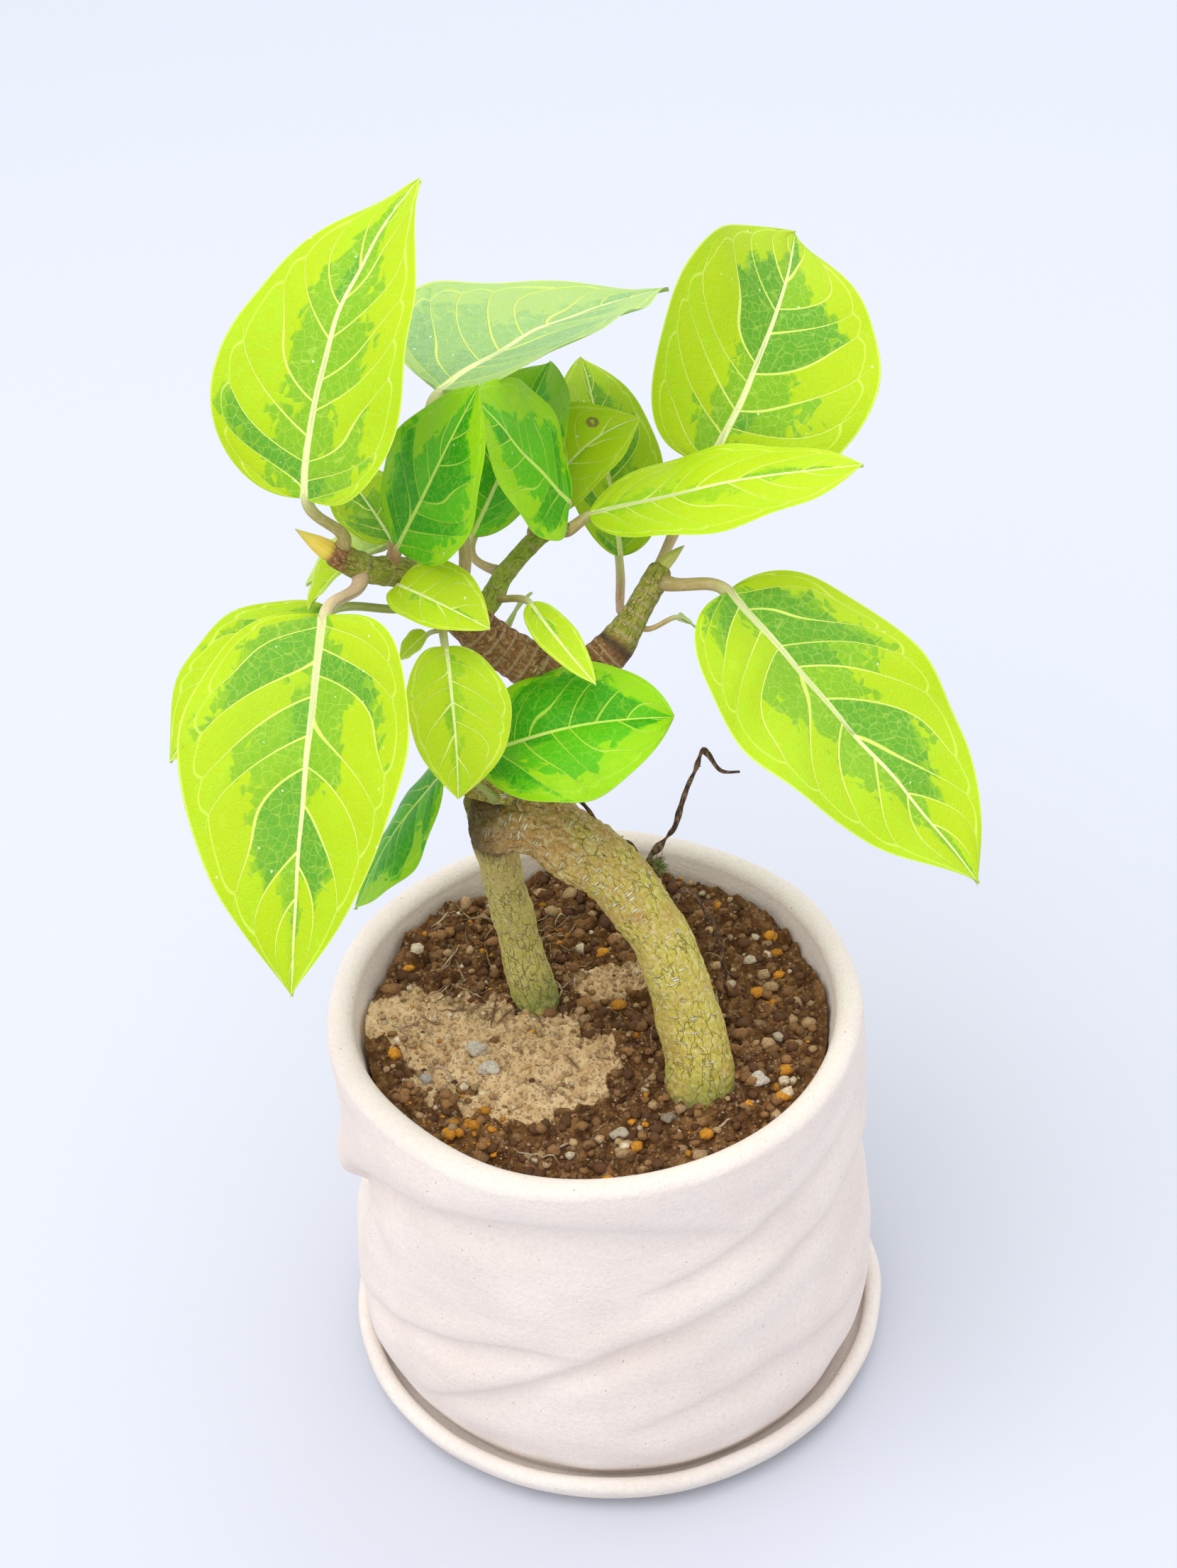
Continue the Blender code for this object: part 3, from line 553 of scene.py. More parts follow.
@dataclass(frozen=True)
class SoilFinish:
    """Moist crumbly potting mix that turns to dry pale sand where the mask stored on the surface says."""

    name: str = "potting_mix"
    wet: Colour = (0.1, 0.042, 0.013)
    crumb: Colour = (0.3, 0.145, 0.05)
    sand: Colour = (0.62, 0.4, 0.19)
    pale_sand: Colour = (0.85, 0.62, 0.35)
    earth_grit: Colour = (0.36, 0.25, 0.15)
    sand_grit: Colour = (0.2, 0.13, 0.07)

    GRIT_SCALE = 1300.0

    def material(self) -> bpy.types.Material:
        """The node material.

        Returns:
            The material.
        """
        b = Bench(self.name)
        place = b.place()
        lumps = b.noise(place, 240.0, 5.0, 0.65)
        grit = b.cells(place, self.GRIT_SCALE)
        chosen = b.split(b.cells(place, self.GRIT_SCALE, output="Color"))
        earth = b.mix(b.ease(lumps, 0.35, 0.7), self.wet, self.crumb)
        earth = b.mix(b.ease(chosen[0], 0.86, 0.93, 0.0, 0.7), earth, self.earth_grit)
        dry = b.mix(b.ease(lumps, 0.3, 0.72), self.sand, self.pale_sand)
        dry = b.mix(b.ease(chosen[1], 0.72, 0.9, 0.0, 0.55), dry, self.sand_grit)
        mask = b.math("ADD", b.stored("sand"), b.math("MULTIPLY", b.math("SUBTRACT", lumps, 0.5), 0.9))
        colour = b.mix(b.ease(mask, 0.38, 0.62), earth, dry)
        height = b.math("SUBTRACT", lumps, b.math("MULTIPLY", grit, 0.35))
        return b.dress(colour, 0.93, b.bump(height, 0.0012), Specular_IOR_Level=0.22)


@dataclass(frozen=True)
class CrumbFinish:
    """Loose grains, each in the colour stored on it, with a rough mottled skin."""

    name: str = "loose_grains"
    roughness: float = 0.9
    hollow: Colour = (0.05, 0.03, 0.02)
    dust: Colour = (0.8, 0.7, 0.55)

    def material(self) -> bpy.types.Material:
        """The node material.

        Returns:
            The material.
        """
        b = Bench(self.name)
        place = b.place()
        mottle = b.noise(place, 1500.0, 4.0, 0.7)
        tint = b.stored("tint", "Color")
        colour = b.mix(b.ease(mottle, 0.35, 0.7, 0.0, 0.5), tint, self.hollow)
        colour = b.mix(b.ease(mottle, 0.62, 0.8, 0.0, 0.4), colour, self.dust)
        return b.dress(colour, self.roughness, b.bump(mottle, 0.0003), Specular_IOR_Level=0.3)


@dataclass(frozen=True)
class BarkFinish:
    """Young fig bark: brown and green areas by the stored tone, fine cracks, pale dashes and ring scars."""

    name: str
    green: Colour = (0.6, 0.49, 0.07)
    brown: Colour = (0.5, 0.28, 0.07)
    pale: Colour = (0.92, 0.84, 0.55)
    crack: Colour = (0.1, 0.06, 0.02)
    dash_share: float = 0.5
    mossy: Colour = (0.17, 0.25, 0.05)
    scarred: Colour = (0.5, 0.36, 0.2)
    stained: Colour = (0.055, 0.032, 0.018)

    PLATES = (0.36, 0.36, 0.17)
    DASHES = (0.2, 0.2, 1.1)
    STREAKS = (1.3, 1.3, 0.4)

    def material(self) -> bpy.types.Material:
        """The node material. The stored skin vector is (r cos a, r sin a, length) in millimetres.

        Returns:
            The material.
        """
        b = Bench(self.name)
        place = b.place()
        tone = b.stored("tone")
        skin = b.stored("skin", "Vector")
        blotch = b.noise(place, 130.0, 4.0, 0.6)
        fine = b.noise(place, 900.0, 4.0, 0.65)
        tone = b.math("ADD", tone, b.math("MULTIPLY", b.math("SUBTRACT", blotch, 0.5), 0.9))
        colour = b.mix(b.ease(tone, 0.3, 0.7), self.brown, self.green)
        colour = b.mix(b.ease(fine, 0.42, 0.72, 0.0, 0.5), colour, self.pale)
        streak = b.noise(b.stretched(skin, self.STREAKS), 1.0, 4.0, 0.7)
        warped = self.warped(b, skin)
        from_edge = b.cells(b.stretched(warped, self.PLATES), 1.0, "DISTANCE_TO_EDGE")
        crack = b.ease(from_edge, 0.04, 0.008)
        crack = b.math("MULTIPLY", crack, b.ease(blotch, 0.4, 0.6))
        crack = b.math("MAXIMUM", crack, b.ease(streak, 0.4, 0.3))
        colour = b.mix(b.math("MULTIPLY", crack, 0.5), colour, self.crack)
        wide = b.stretched(skin, self.DASHES)
        dash = b.ease(b.cells(wide, 1.0), 0.34, 0.2)
        chosen = b.split(b.cells(wide, 1.0, output="Color"))[0]
        dash = b.math("MULTIPLY", dash, b.ease(chosen, self.dash_share, self.dash_share * 0.8))
        dash = b.math("MULTIPLY", dash, b.ease(b.noise(place, 90.0, 2.0), 0.4, 0.52))
        colour = b.mix(b.math("MULTIPLY", dash, 0.9), colour, self.pale)
        moss = b.math("MULTIPLY", b.stored("moss"), b.ease(blotch, 0.35, 0.55, 0.3, 1.0))
        colour = b.mix(b.math("MULTIPLY", moss, 0.8), colour, self.mossy)
        scar = b.stored("scar")
        colour = b.mix(b.math("MULTIPLY", scar, 0.7), colour, self.scarred)
        # Near-black bands where the stored band value rises.
        colour = b.mix(b.math("MULTIPLY", b.stored("stain"), 0.85), colour, self.stained)
        height = b.math("SUBTRACT", b.math("MULTIPLY", fine, 0.7), b.math("MULTIPLY", crack, 0.6))
        height = b.math("ADD", height, b.math("MULTIPLY", dash, 0.8))
        return b.dress(colour, 0.74, b.bump(height, 0.0007), Specular_IOR_Level=0.3)

    def warped(self, b: Bench, skin: Socket) -> Socket:
        """The skin vector moved about by up to 4 mm, so that the cracks don't run straight.

        Args:
            b: the material's bench.
            skin: the stored skin vector.

        Returns:
            The moved vector.
        """
        made = b.node("ShaderNodeTexNoise")
        b.join(skin, made.inputs["Vector"])
        made.inputs["Scale"].default_value = 0.35
        moved = b.node("ShaderNodeVectorMath", operation="MULTIPLY_ADD")
        b.join(made.outputs["Color"], moved.inputs[0])
        moved.inputs[1].default_value = (4.0, 4.0, 4.0)
        b.join(skin, moved.inputs[2])
        return moved.outputs[0]


@dataclass(frozen=True)
class RootletFinish:
    """Dry root fibre: dark brown with paler flakes along it."""

    name: str = "dry_rootlet"
    dark: Colour = (0.055, 0.03, 0.018)
    flake: Colour = (0.27, 0.16, 0.09)

    def material(self) -> bpy.types.Material:
        """The node material.

        Returns:
            The material.
        """
        b = Bench(self.name)
        flakes = b.noise(b.stretched(b.place(), (1.0, 1.0, 0.4)), 900.0, 4.0, 0.7)
        colour = b.mix(b.ease(flakes, 0.42, 0.66), self.dark, self.flake)
        return b.dress(colour, 0.8, b.bump(flakes, 0.0003), Specular_IOR_Level=0.3)


@dataclass(frozen=True)
class BudFinish:
    """A pointed bud sheath: yellow to green by the stored share, reddish at its foot, ribbed lengthwise."""

    name: str
    sheath: Colour
    tip: Colour
    foot: Colour = (0.3, 0.11, 0.035)
    rib: Colour = (0.9, 0.8, 0.35)

    def material(self) -> bpy.types.Material:
        """The node material.

        Returns:
            The material.
        """
        b = Bench(self.name)
        share = b.stored("share")
        ribs = b.noise(b.stretched(b.stored("skin", "Vector"), (2.4, 2.4, 0.14)), 1.0, 3.0)
        share_rough = b.math("ADD", share, b.math("MULTIPLY", b.math("SUBTRACT", ribs, 0.5), 0.16))
        colour = b.mix(b.ease(share_rough, 0.45, 0.95), self.sheath, self.tip)
        colour = b.mix(b.ease(share_rough, 0.2, 0.03), colour, self.foot)
        colour = b.mix(b.ease(ribs, 0.4, 0.7, 0.0, 0.3), colour, self.rib)
        return b.dress(colour, 0.42, b.bump(ribs, 0.0002), Specular_IOR_Level=0.45, Subsurface_Weight=0.08)


@dataclass(frozen=True)
class MossFinish:
    """Dull green moss with browned tips."""

    name: str = "moss"
    green: Colour = (0.13, 0.18, 0.035)
    brown: Colour = (0.12, 0.075, 0.03)

    def material(self) -> bpy.types.Material:
        """The node material.

        Returns:
            The material.
        """
        b = Bench(self.name)
        patch = b.noise(b.place(), 700.0, 4.0)
        return b.dress(b.mix(b.ease(patch, 0.4, 0.62), self.green, self.brown), 0.95, b.bump(patch, 0.0004))


@dataclass(frozen=True)
class LeafFinish:
    """A variegated blade: a lime margin, and green patches that fill the sectors between the side veins.

    Each sector's patch reaches its own random share of the half width, and its edge steps round the small
    cells of the vein net. A darker green lies in patches of its own nearer the midrib.
    """

    name: str
    margin: Colour
    middle: Colour
    dark: Colour
    reach: float
    spread: float
    dark_share: float
    vein: Colour = (0.72, 0.84, 0.16)
    wash: Colour = (0.38, 0.66, 0.008)
    rib: Colour = (0.84, 0.88, 0.4)
    # painted sheen: a pale bluish green painted in for the sky reflected in the leaf's gloss
    painted_sheen: Colour = (0.36, 0.53, 0.3)
    dot: Colour = (0.9, 0.95, 0.85)
    blemish: Colour = (0.26, 0.15, 0.07)
    below: Colour = (0.5, 0.68, 0.24)
    stalk_stripe: Colour = (0.75, 0.68, 0.42)
    gloss: float = 0.42

    NET_SCALE = 0.42
    FINE_NET_SCALE = 1.1
    DOT_SCALE = 0.24
    RIB_HALF_WIDTH = 1.35

    def material(self) -> bpy.types.Material:
        """The node material.

        The stored rib vector is (side vein number, signed share of the half width, share of the length),
        flat is (length, width, 0) in millimetres, and facts is (seed, size, millimetres between side veins).
        more_green widens the green patches, and frost is how much painted sheen lies on the leaf: a pale
        bluish colour painted in for the sky reflected in the gloss.

        Returns:
            The material.
        """
        b = Bench(self.name)
        number, across, along = b.split(b.stored("rib", "Vector"))
        flat = b.stored("flat", "Vector")
        _, flat_across, _ = b.split(flat)
        seed, size, pitch = b.split(b.stored("facts", "Vector"))
        share = b.math("ABSOLUTE", across)
        reach_mm = b.math("ABSOLUTE", flat_across)
        half = b.math("MULTIPLY", b.math("SIGN", across), 7.0)
        place = b.node("ShaderNodeVectorMath", operation="ADD")
        b.join(flat, place.inputs[0])
        b.join(b.stored("facts", "Vector"), place.inputs[1])
        place = place.outputs[0]

        sector = b.math("FLOOR", number)
        draw, draws = b.dice(sector, b.math("ADD", seed, half))
        second, third, _ = b.split(draws)
        cloud = b.noise(place, 0.11, 2.0)
        cell = b.split(b.cells(place, self.NET_SCALE, output="Color"))
        jag = b.math("MULTIPLY", b.math("SUBTRACT", cell[0], 0.5), 0.22)
        wander = b.math("MULTIPLY", b.math("SUBTRACT", cloud, 0.5), 0.6)
        reach = b.math("ADD", self.reach, b.stored("more_green"))
        reach = b.math("ADD", reach, b.math("MULTIPLY", b.math("SUBTRACT", draw, 0.5), self.spread))
        reach = b.math("ADD", b.math("ADD", reach, jag), wander)
        reach = b.math("MULTIPLY", reach, b.ease(along, 0.98, 0.55, 0.35, 1.0))
        green = b.ease(b.math("SUBTRACT", reach, share), -0.03, 0.03)
        chosen = b.ease(second, 1.0 - self.dark_share, 1.15 - self.dark_share, 0.0, 0.85)
        deep_reach = b.math("MULTIPLY", reach, chosen)
        deep = b.ease(b.math("SUBTRACT", deep_reach, share), -0.03, 0.03)
        wash = b.math("MULTIPLY", b.ease(third, 0.3, 0.8), b.ease(b.noise(place, 0.3, 3.0), 0.35, 0.6))

        colour = b.mix(b.math("MULTIPLY", wash, 0.55), self.margin, self.wash)
        colour = b.mix(green, colour, self.middle)
        colour = b.mix(deep, colour, self.dark)
        soft = b.noise(place, 0.7, 4.0)
        colour = b.mix(b.ease(soft, 0.4, 0.75, 0.0, 0.2), colour, self.margin)
        # Painted sheen: pale bluish green painted over the leaf in place of the sky reflected in its gloss.
        painted_sheen = b.math("MULTIPLY", b.stored("frost"), b.ease(soft, 0.3, 0.6, 0.7, 1.0))
        colour = b.mix(painted_sheen, colour, self.painted_sheen)

        net_line = b.ease(b.cells(place, self.NET_SCALE, "DISTANCE_TO_EDGE"), 0.07, 0.015)
        fine_line = b.ease(b.cells(place, self.FINE_NET_SCALE, "DISTANCE_TO_EDGE"), 0.1, 0.02)

        from_vein = b.math("ABSOLUTE", b.math("SUBTRACT", number, b.math("ROUND", number)))
        from_vein = b.math("MULTIPLY", from_vein, pitch)
        width = b.math("MULTIPLY", b.ease(share, 0.0, 0.95, 0.6, 0.26), b.math("POWER", size, 0.6))
        side_vein = b.ease(b.math("DIVIDE", from_vein, width), 1.0, 0.35)
        side_vein = b.math("MULTIPLY", side_vein, b.ease(share, 0.94, 0.8))
        loop = b.math("ABSOLUTE", b.math("SINE", b.math("MULTIPLY", number, math.pi)))
        loop = b.math("ADD", b.math("MULTIPLY", loop, 0.055), 0.83)
        from_loop = b.math("ABSOLUTE", b.math("SUBTRACT", b.math("DIVIDE", loop, share), 1.0))
        from_loop = b.math("MULTIPLY", from_loop, reach_mm)
        loop_vein = b.ease(from_loop, 0.3, 0.1)
        rib_width = b.math("POWER", b.math("SUBTRACT", 1.0, along), 0.75)
        rib_width = b.math("MULTIPLY", rib_width, b.math("MULTIPLY", size, self.RIB_HALF_WIDTH))
        rib_width = b.math("ADD", rib_width, 0.12)
        midrib = b.ease(b.math("DIVIDE", reach_mm, rib_width), 1.0, 0.6)
        veins = b.math("MAXIMUM", b.math("MULTIPLY", side_vein, 0.92), b.math("MULTIPLY", loop_vein, 0.5))
        veins = b.math("MAXIMUM", veins, b.math("MULTIPLY", net_line, b.ease(green, 0.0, 1.0, 0.1, 0.24)))
        veins = b.math("MAXIMUM", veins, b.math("MULTIPLY", fine_line, 0.08))
        # Painted highlight: the outermost sliver of the margin is painted pale in the vein colour, a bright
        # edge line standing in for light caught by the thin edge.
        veins = b.math("MAXIMUM", veins, b.ease(share, 0.978, 0.992, 0.0, 0.7))
        colour = b.mix(veins, colour, self.vein)
        colour = b.mix(b.math("MULTIPLY", midrib, 0.95), colour, self.rib)

        dot = b.ease(b.cells(place, self.DOT_SCALE), 0.085, 0.05)
        chosen = b.split(b.cells(place, self.DOT_SCALE, output="Color"))[1]
        dot = b.math("MULTIPLY", dot, b.ease(chosen, 0.72, 0.76))
        colour = b.mix(b.math("MULTIPLY", dot, 0.7), colour, self.dot)
        spot = b.stored("spot")
        ring = b.math("MULTIPLY", b.ease(spot, 0.55, 0.95), b.ease(spot, 1.75, 1.35))
        colour = b.mix(b.math("MULTIPLY", ring, 0.85), colour, self.blemish)
        under = b.stored("underside")
        colour = b.mix(b.math("MULTIPLY", under, 0.45), colour, self.below)
        stalk = b.stored("stalk")
        stripe = b.noise(place, 1.5, 4.0)
        stalk_colour = b.stored("stalk_colour", "Color")
        stalk_colour = b.mix(b.ease(stripe, 0.4, 0.7, 0.0, 0.3), stalk_colour, self.stalk_stripe)
        colour = b.mix(stalk, colour, stalk_colour)

        raised = b.math("SUBTRACT", b.math("MULTIPLY", under, 2.0), 1.0)
        relief = b.math("ADD", b.math("MULTIPLY", side_vein, 0.8), b.math("MULTIPLY", net_line, 0.3))
        relief = b.math("ADD", relief, b.math("MULTIPLY", fine_line, 0.12))
        normal = b.bump(b.math("MULTIPLY", relief, raised), 0.0002, 0.8)
        rough = b.math("ADD", self.gloss, b.math("MULTIPLY", under, 0.22))
        rough = b.math("ADD", rough, b.math("MULTIPLY", b.math("SUBTRACT", soft, 0.5), 0.12))
        return b.dress(colour, rough, normal, Specular_IOR_Level=0.15)


@dataclass(frozen=True)
class MeshFinish:
    """The drain screen's black moulded plastic."""

    name: str = "screen_plastic"
    dark: Colour = (0.02, 0.02, 0.02)
    worn: Colour = (0.05, 0.05, 0.05)

    def material(self) -> bpy.types.Material:
        """The node material.

        Returns:
            The material.
        """
        b = Bench(self.name)
        grain = b.noise(b.place(), 1200.0)
        colour = b.mix(b.ease(grain, 0.3, 0.7), self.dark, self.worn)
        return b.dress(colour, 0.6, b.bump(grain, 0.0001))


@dataclass(frozen=True)
class TableFinish:
    """A plain pale table top with a very faint grain."""

    name: str = "pale_table"
    colour: Colour = (0.605, 0.622, 0.69)

    def material(self) -> bpy.types.Material:
        """The node material.

        Returns:
            The material.
        """
        b = Bench(self.name)
        cloud = b.noise(b.place(), 3.0)
        colour = b.mix(b.ease(cloud, 0.3, 0.7, 0.0, 0.08), self.colour, tuple(c * 0.96 for c in self.colour))
        return b.dress(colour, 0.9, Specular_IOR_Level=0.1)


# ---------------------------------------------------------------------------------------- the holder


def place_piece(thing: bpy.types.Object, slot: str, *nodes: str) -> bpy.types.Object:
    """Fixes a piece to the plant's one body, in place of its CAD nodes.

    Args:
        thing: the finished piece.
        slot: the record's material slot; not used.
        *nodes: CAD nodes that it stands for.

    Returns:
        The piece.
    """
    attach(thing, "root")
    if nodes:
        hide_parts(*nodes)
    LOG.info("%s: %d faces", thing.name, len(thing.data.polygons))
    return thing


@dataclass(frozen=True)
class Fold:
    """A drape fold in the pot's wall: its valley as (angle in degrees, height), its depth and half width."""

    valley: tuple[tuple[float, float], ...]
    depth: float
    half_width: float

    def drawn_in(self, degrees: np.ndarray, heights: np.ndarray) -> np.ndarray:
        """How far the wall is drawn in: depth x fade x exp(-d^2), with d the height from the valley.

        d is divided by the half width below the valley and by half of it above, so the upper lip is the
        sharper one. The clay above the valley also swells out a little over it.

        Args:
            degrees: angle of each column.
            heights: height of each row.

        Returns:
            Depths as (rows, columns).
        """
        valley = smooth_route(np.array(self.valley), 8)
        along = (degrees - valley[0, 0]) % 360.0
        span = valley[-1, 0] - valley[0, 0]
        line = np.interp(along, valley[:, 0] - valley[0, 0], valley[:, 1])
        fade = np.sin(np.clip(along / span, 0.0, 1.0) * math.pi) ** 0.6 * (along < span)
        gap = heights[:, None] - line[None, :]
        sharp = np.where(gap > 0, 0.42, 1.3) * self.half_width
        swell = 0.3 * np.exp(-(((gap - 1.3 * self.half_width) / self.half_width) ** 2))
        return self.depth * fade[None, :] * (np.exp(-((gap / sharp) ** 2)) - swell)


@dataclass
class Holder:
    """The draped pot, the saucer under it and the screen over its drain hole."""

    saucer_radius: float = 72.0
    saucer_height: float = 10.0
    saucer_wall: float = 4.6
    saucer_floor: float = 4.0
    saucer_foot_radius: float = 65.0
    bottom: float = 4.3
    top: float = 115.7
    foot_radius: float = 62.0
    body_radius: float = 69.0
    band_radius: float = 68.0
    lean: float = -2.75
    rim_inner: float = 61.2
    rim_round: float = 3.0
    inner_foot: float = 54.0
    inner_body: float = 57.5
    floor: float = 8.0
    drain_radius: float = 7.0
    columns: int = 420
    folds: tuple[Fold, ...] = (
        Fold(
            ((-225, 66), (-200, 62), (-173, 63), (-160, 78), (-140, 91), (-115, 97), (-88, 98), (-60, 88)),
            4.0,
            8.0,
        ),
        Fold(((-215, 58), (-190, 58), (-173, 62), (-160, 76), (-146, 85)), 2.2, 13.0),
        Fold(((-215, 64), (-190, 60), (-172, 60), (-148, 76)), 2.2, 8.5),
        Fold(
            ((-140, 18), (-125, 30), (-95, 53), (-76, 63), (-53, 69), (-30, 75), (-8, 74), (25, 60)),
            3.2,
            4.8,
        ),
        Fold(((-85, 76), (-68, 81), (-53, 89), (-38, 93), (-15, 96)), 2.2, 4.0),
        Fold(((-90, 28), (-68, 34), (-40, 35), (-10, 28)), 2.0, 5.5),
        Fold(((-182, 24), (-162, 33), (-134, 45), (-113, 54), (-98, 55)), 2.2, 4.5),
        Fold(((15, 36), (45, 50), (85, 58), (125, 54)), 2.8, 5.0),
        Fold(((20, 88), (60, 95), (105, 88), (140, 78)), 3.4, 5.5),
        Fold(((70, 14), (110, 30), (150, 36), (185, 34)), 2.4, 5.0),
    )

    def body_profile(self, heights: np.ndarray) -> np.ndarray:
        """The wall's radius without folds: straight spans between driving heights, smoothed over 6 mm.

        Args:
            heights: heights.

        Returns:
            The radius at each.
        """
        knots = (self.bottom, 9.0, 22.0, 40.0, 60.0, 82.0, 98.0, 110.0, self.top)
        body, band = self.body_radius, self.band_radius
        radii = (self.foot_radius, self.foot_radius + 3.6, body + 0.4, body + 0.4, body - 1.0)
        radii += (band - 0.6, band, band + 0.3, band)
        offsets = np.linspace(-3.0, 3.0, 7)
        return np.mean([np.interp(heights + offset, knots, radii) for offset in offsets], axis=0)

    def pot(self) -> bpy.types.Object:
        """The pot's wall: radius(height, angle) = profile - folds + slow swells, then lip, inside and floor.

        Returns:
            The pot, one shell whose last ring joins its first through the drain hole.
        """
        degrees = np.arange(self.columns) * 360.0 / self.columns
        round_turn = circle(np.radians(degrees))
        lip_height = self.top - self.rim_round
        foot = [self.bottom, self.bottom + 0.5, self.bottom + 1.4]
        heights = np.concatenate([foot, np.linspace(7.0, lip_height, 190)])
        drawn_in = sum(fold.drawn_in(degrees, heights) for fold in self.folds)
        radius = self.body_profile(heights)[:, None] - drawn_in
        shape = round_turn[None] * radius[..., None] + UP * heights[:, None, None]
        swell = Grain(11).at(shape, 46.0) * 0.5 + Grain(12).at(shape, 17.0) * 0.16
        quiet = smoothstep(heights, 5.0, 14.0) * (1 - 0.7 * smoothstep(heights, 104.0, lip_height))
        outer = radius + swell * quiet[:, None]
        lip_angle = np.linspace(0.0, math.pi, 26)
        last = outer[-1]
        pressed = 0.9 * np.exp(-(((degrees - 222.0) / 24.0) ** 2))
        pressed = pressed - 0.7 * np.exp(-(((degrees - 262.0) / 22.0) ** 2))
        inner_lip = self.rim_inner - pressed
        middle, half = (last + inner_lip) / 2, (last - inner_lip) / 2
        lip = middle + half * np.cos(lip_angle)[1:, None]
        lip_z = lip_height + self.rim_round * np.sin(lip_angle)[1:]
        floor = self.bottom + self.floor
        knots = np.array([lip_height, 100.0, 88.0, 40.0, floor + 3.0, floor])
        inner_z = np.linspace(lip_height - 0.8, floor, 70)
        body, foot_radius = self.inner_body, self.inner_foot
        inner_r = (self.rim_inner, 58.5, body, body, foot_radius + 2.0, foot_radius)
        inside = np.interp(-inner_z, -knots, inner_r)
        hole = self.drain_radius
        ends_r = np.array([30.0, hole + 0.6, hole, hole, hole + 0.6, 40.0])
        ends_z = np.array([floor, floor, floor - 0.6, self.bottom + 0.6, self.bottom, self.bottom])
        flat = np.concatenate([inside, ends_r])[:, None] * np.ones(self.columns)
        radii = np.vstack([outer, lip, flat])
        z = np.concatenate([heights, lip_z, inner_z, ends_z])
        rings = round_turn[None] * radii[..., None]
        rings[..., 2] = z[:, None]
        wobble = Grain(13).at(rings, 60.0) * 0.35
        rings[..., 2] += wobble * smoothstep(z, 96.0, self.top)[:, None]
        rings[..., 0] += self.lean * ((z - self.bottom) / (self.top - self.bottom))[:, None]
        clay = ClayFinish("draped_clay", (0.9, 0.8, 0.735), (0.86, 0.745, 0.68)).material()
        return place_piece(shell(rings).mesh_object("draped_pot", clay), "pot_clay", "pot")

    def saucer(self) -> bpy.types.Object:
        """The saucer: a profile of (radius, height) turned round Z, with a slow unevenness of the lip.

        Returns:
            The saucer.
        """
        lip = self.saucer_wall / 2
        middle = self.saucer_radius - lip
        arc = np.radians(np.linspace(0.0, 180.0, 22))
        lip_r = middle + lip * np.cos(arc)
        lip_z = self.saucer_height - lip + lip * np.sin(arc)
        foot_r, outer = self.saucer_foot_radius, self.saucer_radius
        inner, floor = middle - lip, self.saucer_floor
        foot = [(30.0, 0.0), (60.0, 0.0), (foot_r - 0.6, 0.0), (foot_r, 0.4)]
        wall = [(outer - 2.0, 3.5), (outer - 0.7, 5.2), (outer - 0.1, 6.8)]
        inside = [(inner, 6.9), (inner - 0.4, 5.4), (inner - 1.2, 4.3)]
        dish = [(inner - 2.2, floor), (45.0, floor), (20.0, floor)]
        knots = np.array(foot + wall + list(zip(lip_r, lip_z)) + inside + dish)
        round_turn = circle(evenly(self.columns))
        rings = round_turn[None] * knots[:, 0, None, None] + UP * knots[:, 1, None, None]
        rough = Grain(21).at(rings, 30.0) * 0.22 * smoothstep(knots[:, 1], 3.0, 8.0)[:, None]
        rings = rings + round_turn[None] * rough[..., None]
        clay = ClayFinish("saucer_clay", (0.87, 0.795, 0.73), (0.82, 0.735, 0.665)).material()
        saucer = shell(rings, np.zeros(3), UP * floor)
        return place_piece(saucer.mesh_object("clay_saucer", clay), "saucer_clay", "saucer")

    def screen(self) -> None:
        """The drain screen keeps its CAD shape and gets its plastic."""
        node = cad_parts["drain_mesh"]
        node.data.materials.clear()
        node.data.materials.append(MeshFinish().material())

    def build(self) -> None:
        """Makes the three pieces."""
        self.saucer()
        self.pot()
        self.screen()


# ---------------------------------------------------------------------------------------- the ground


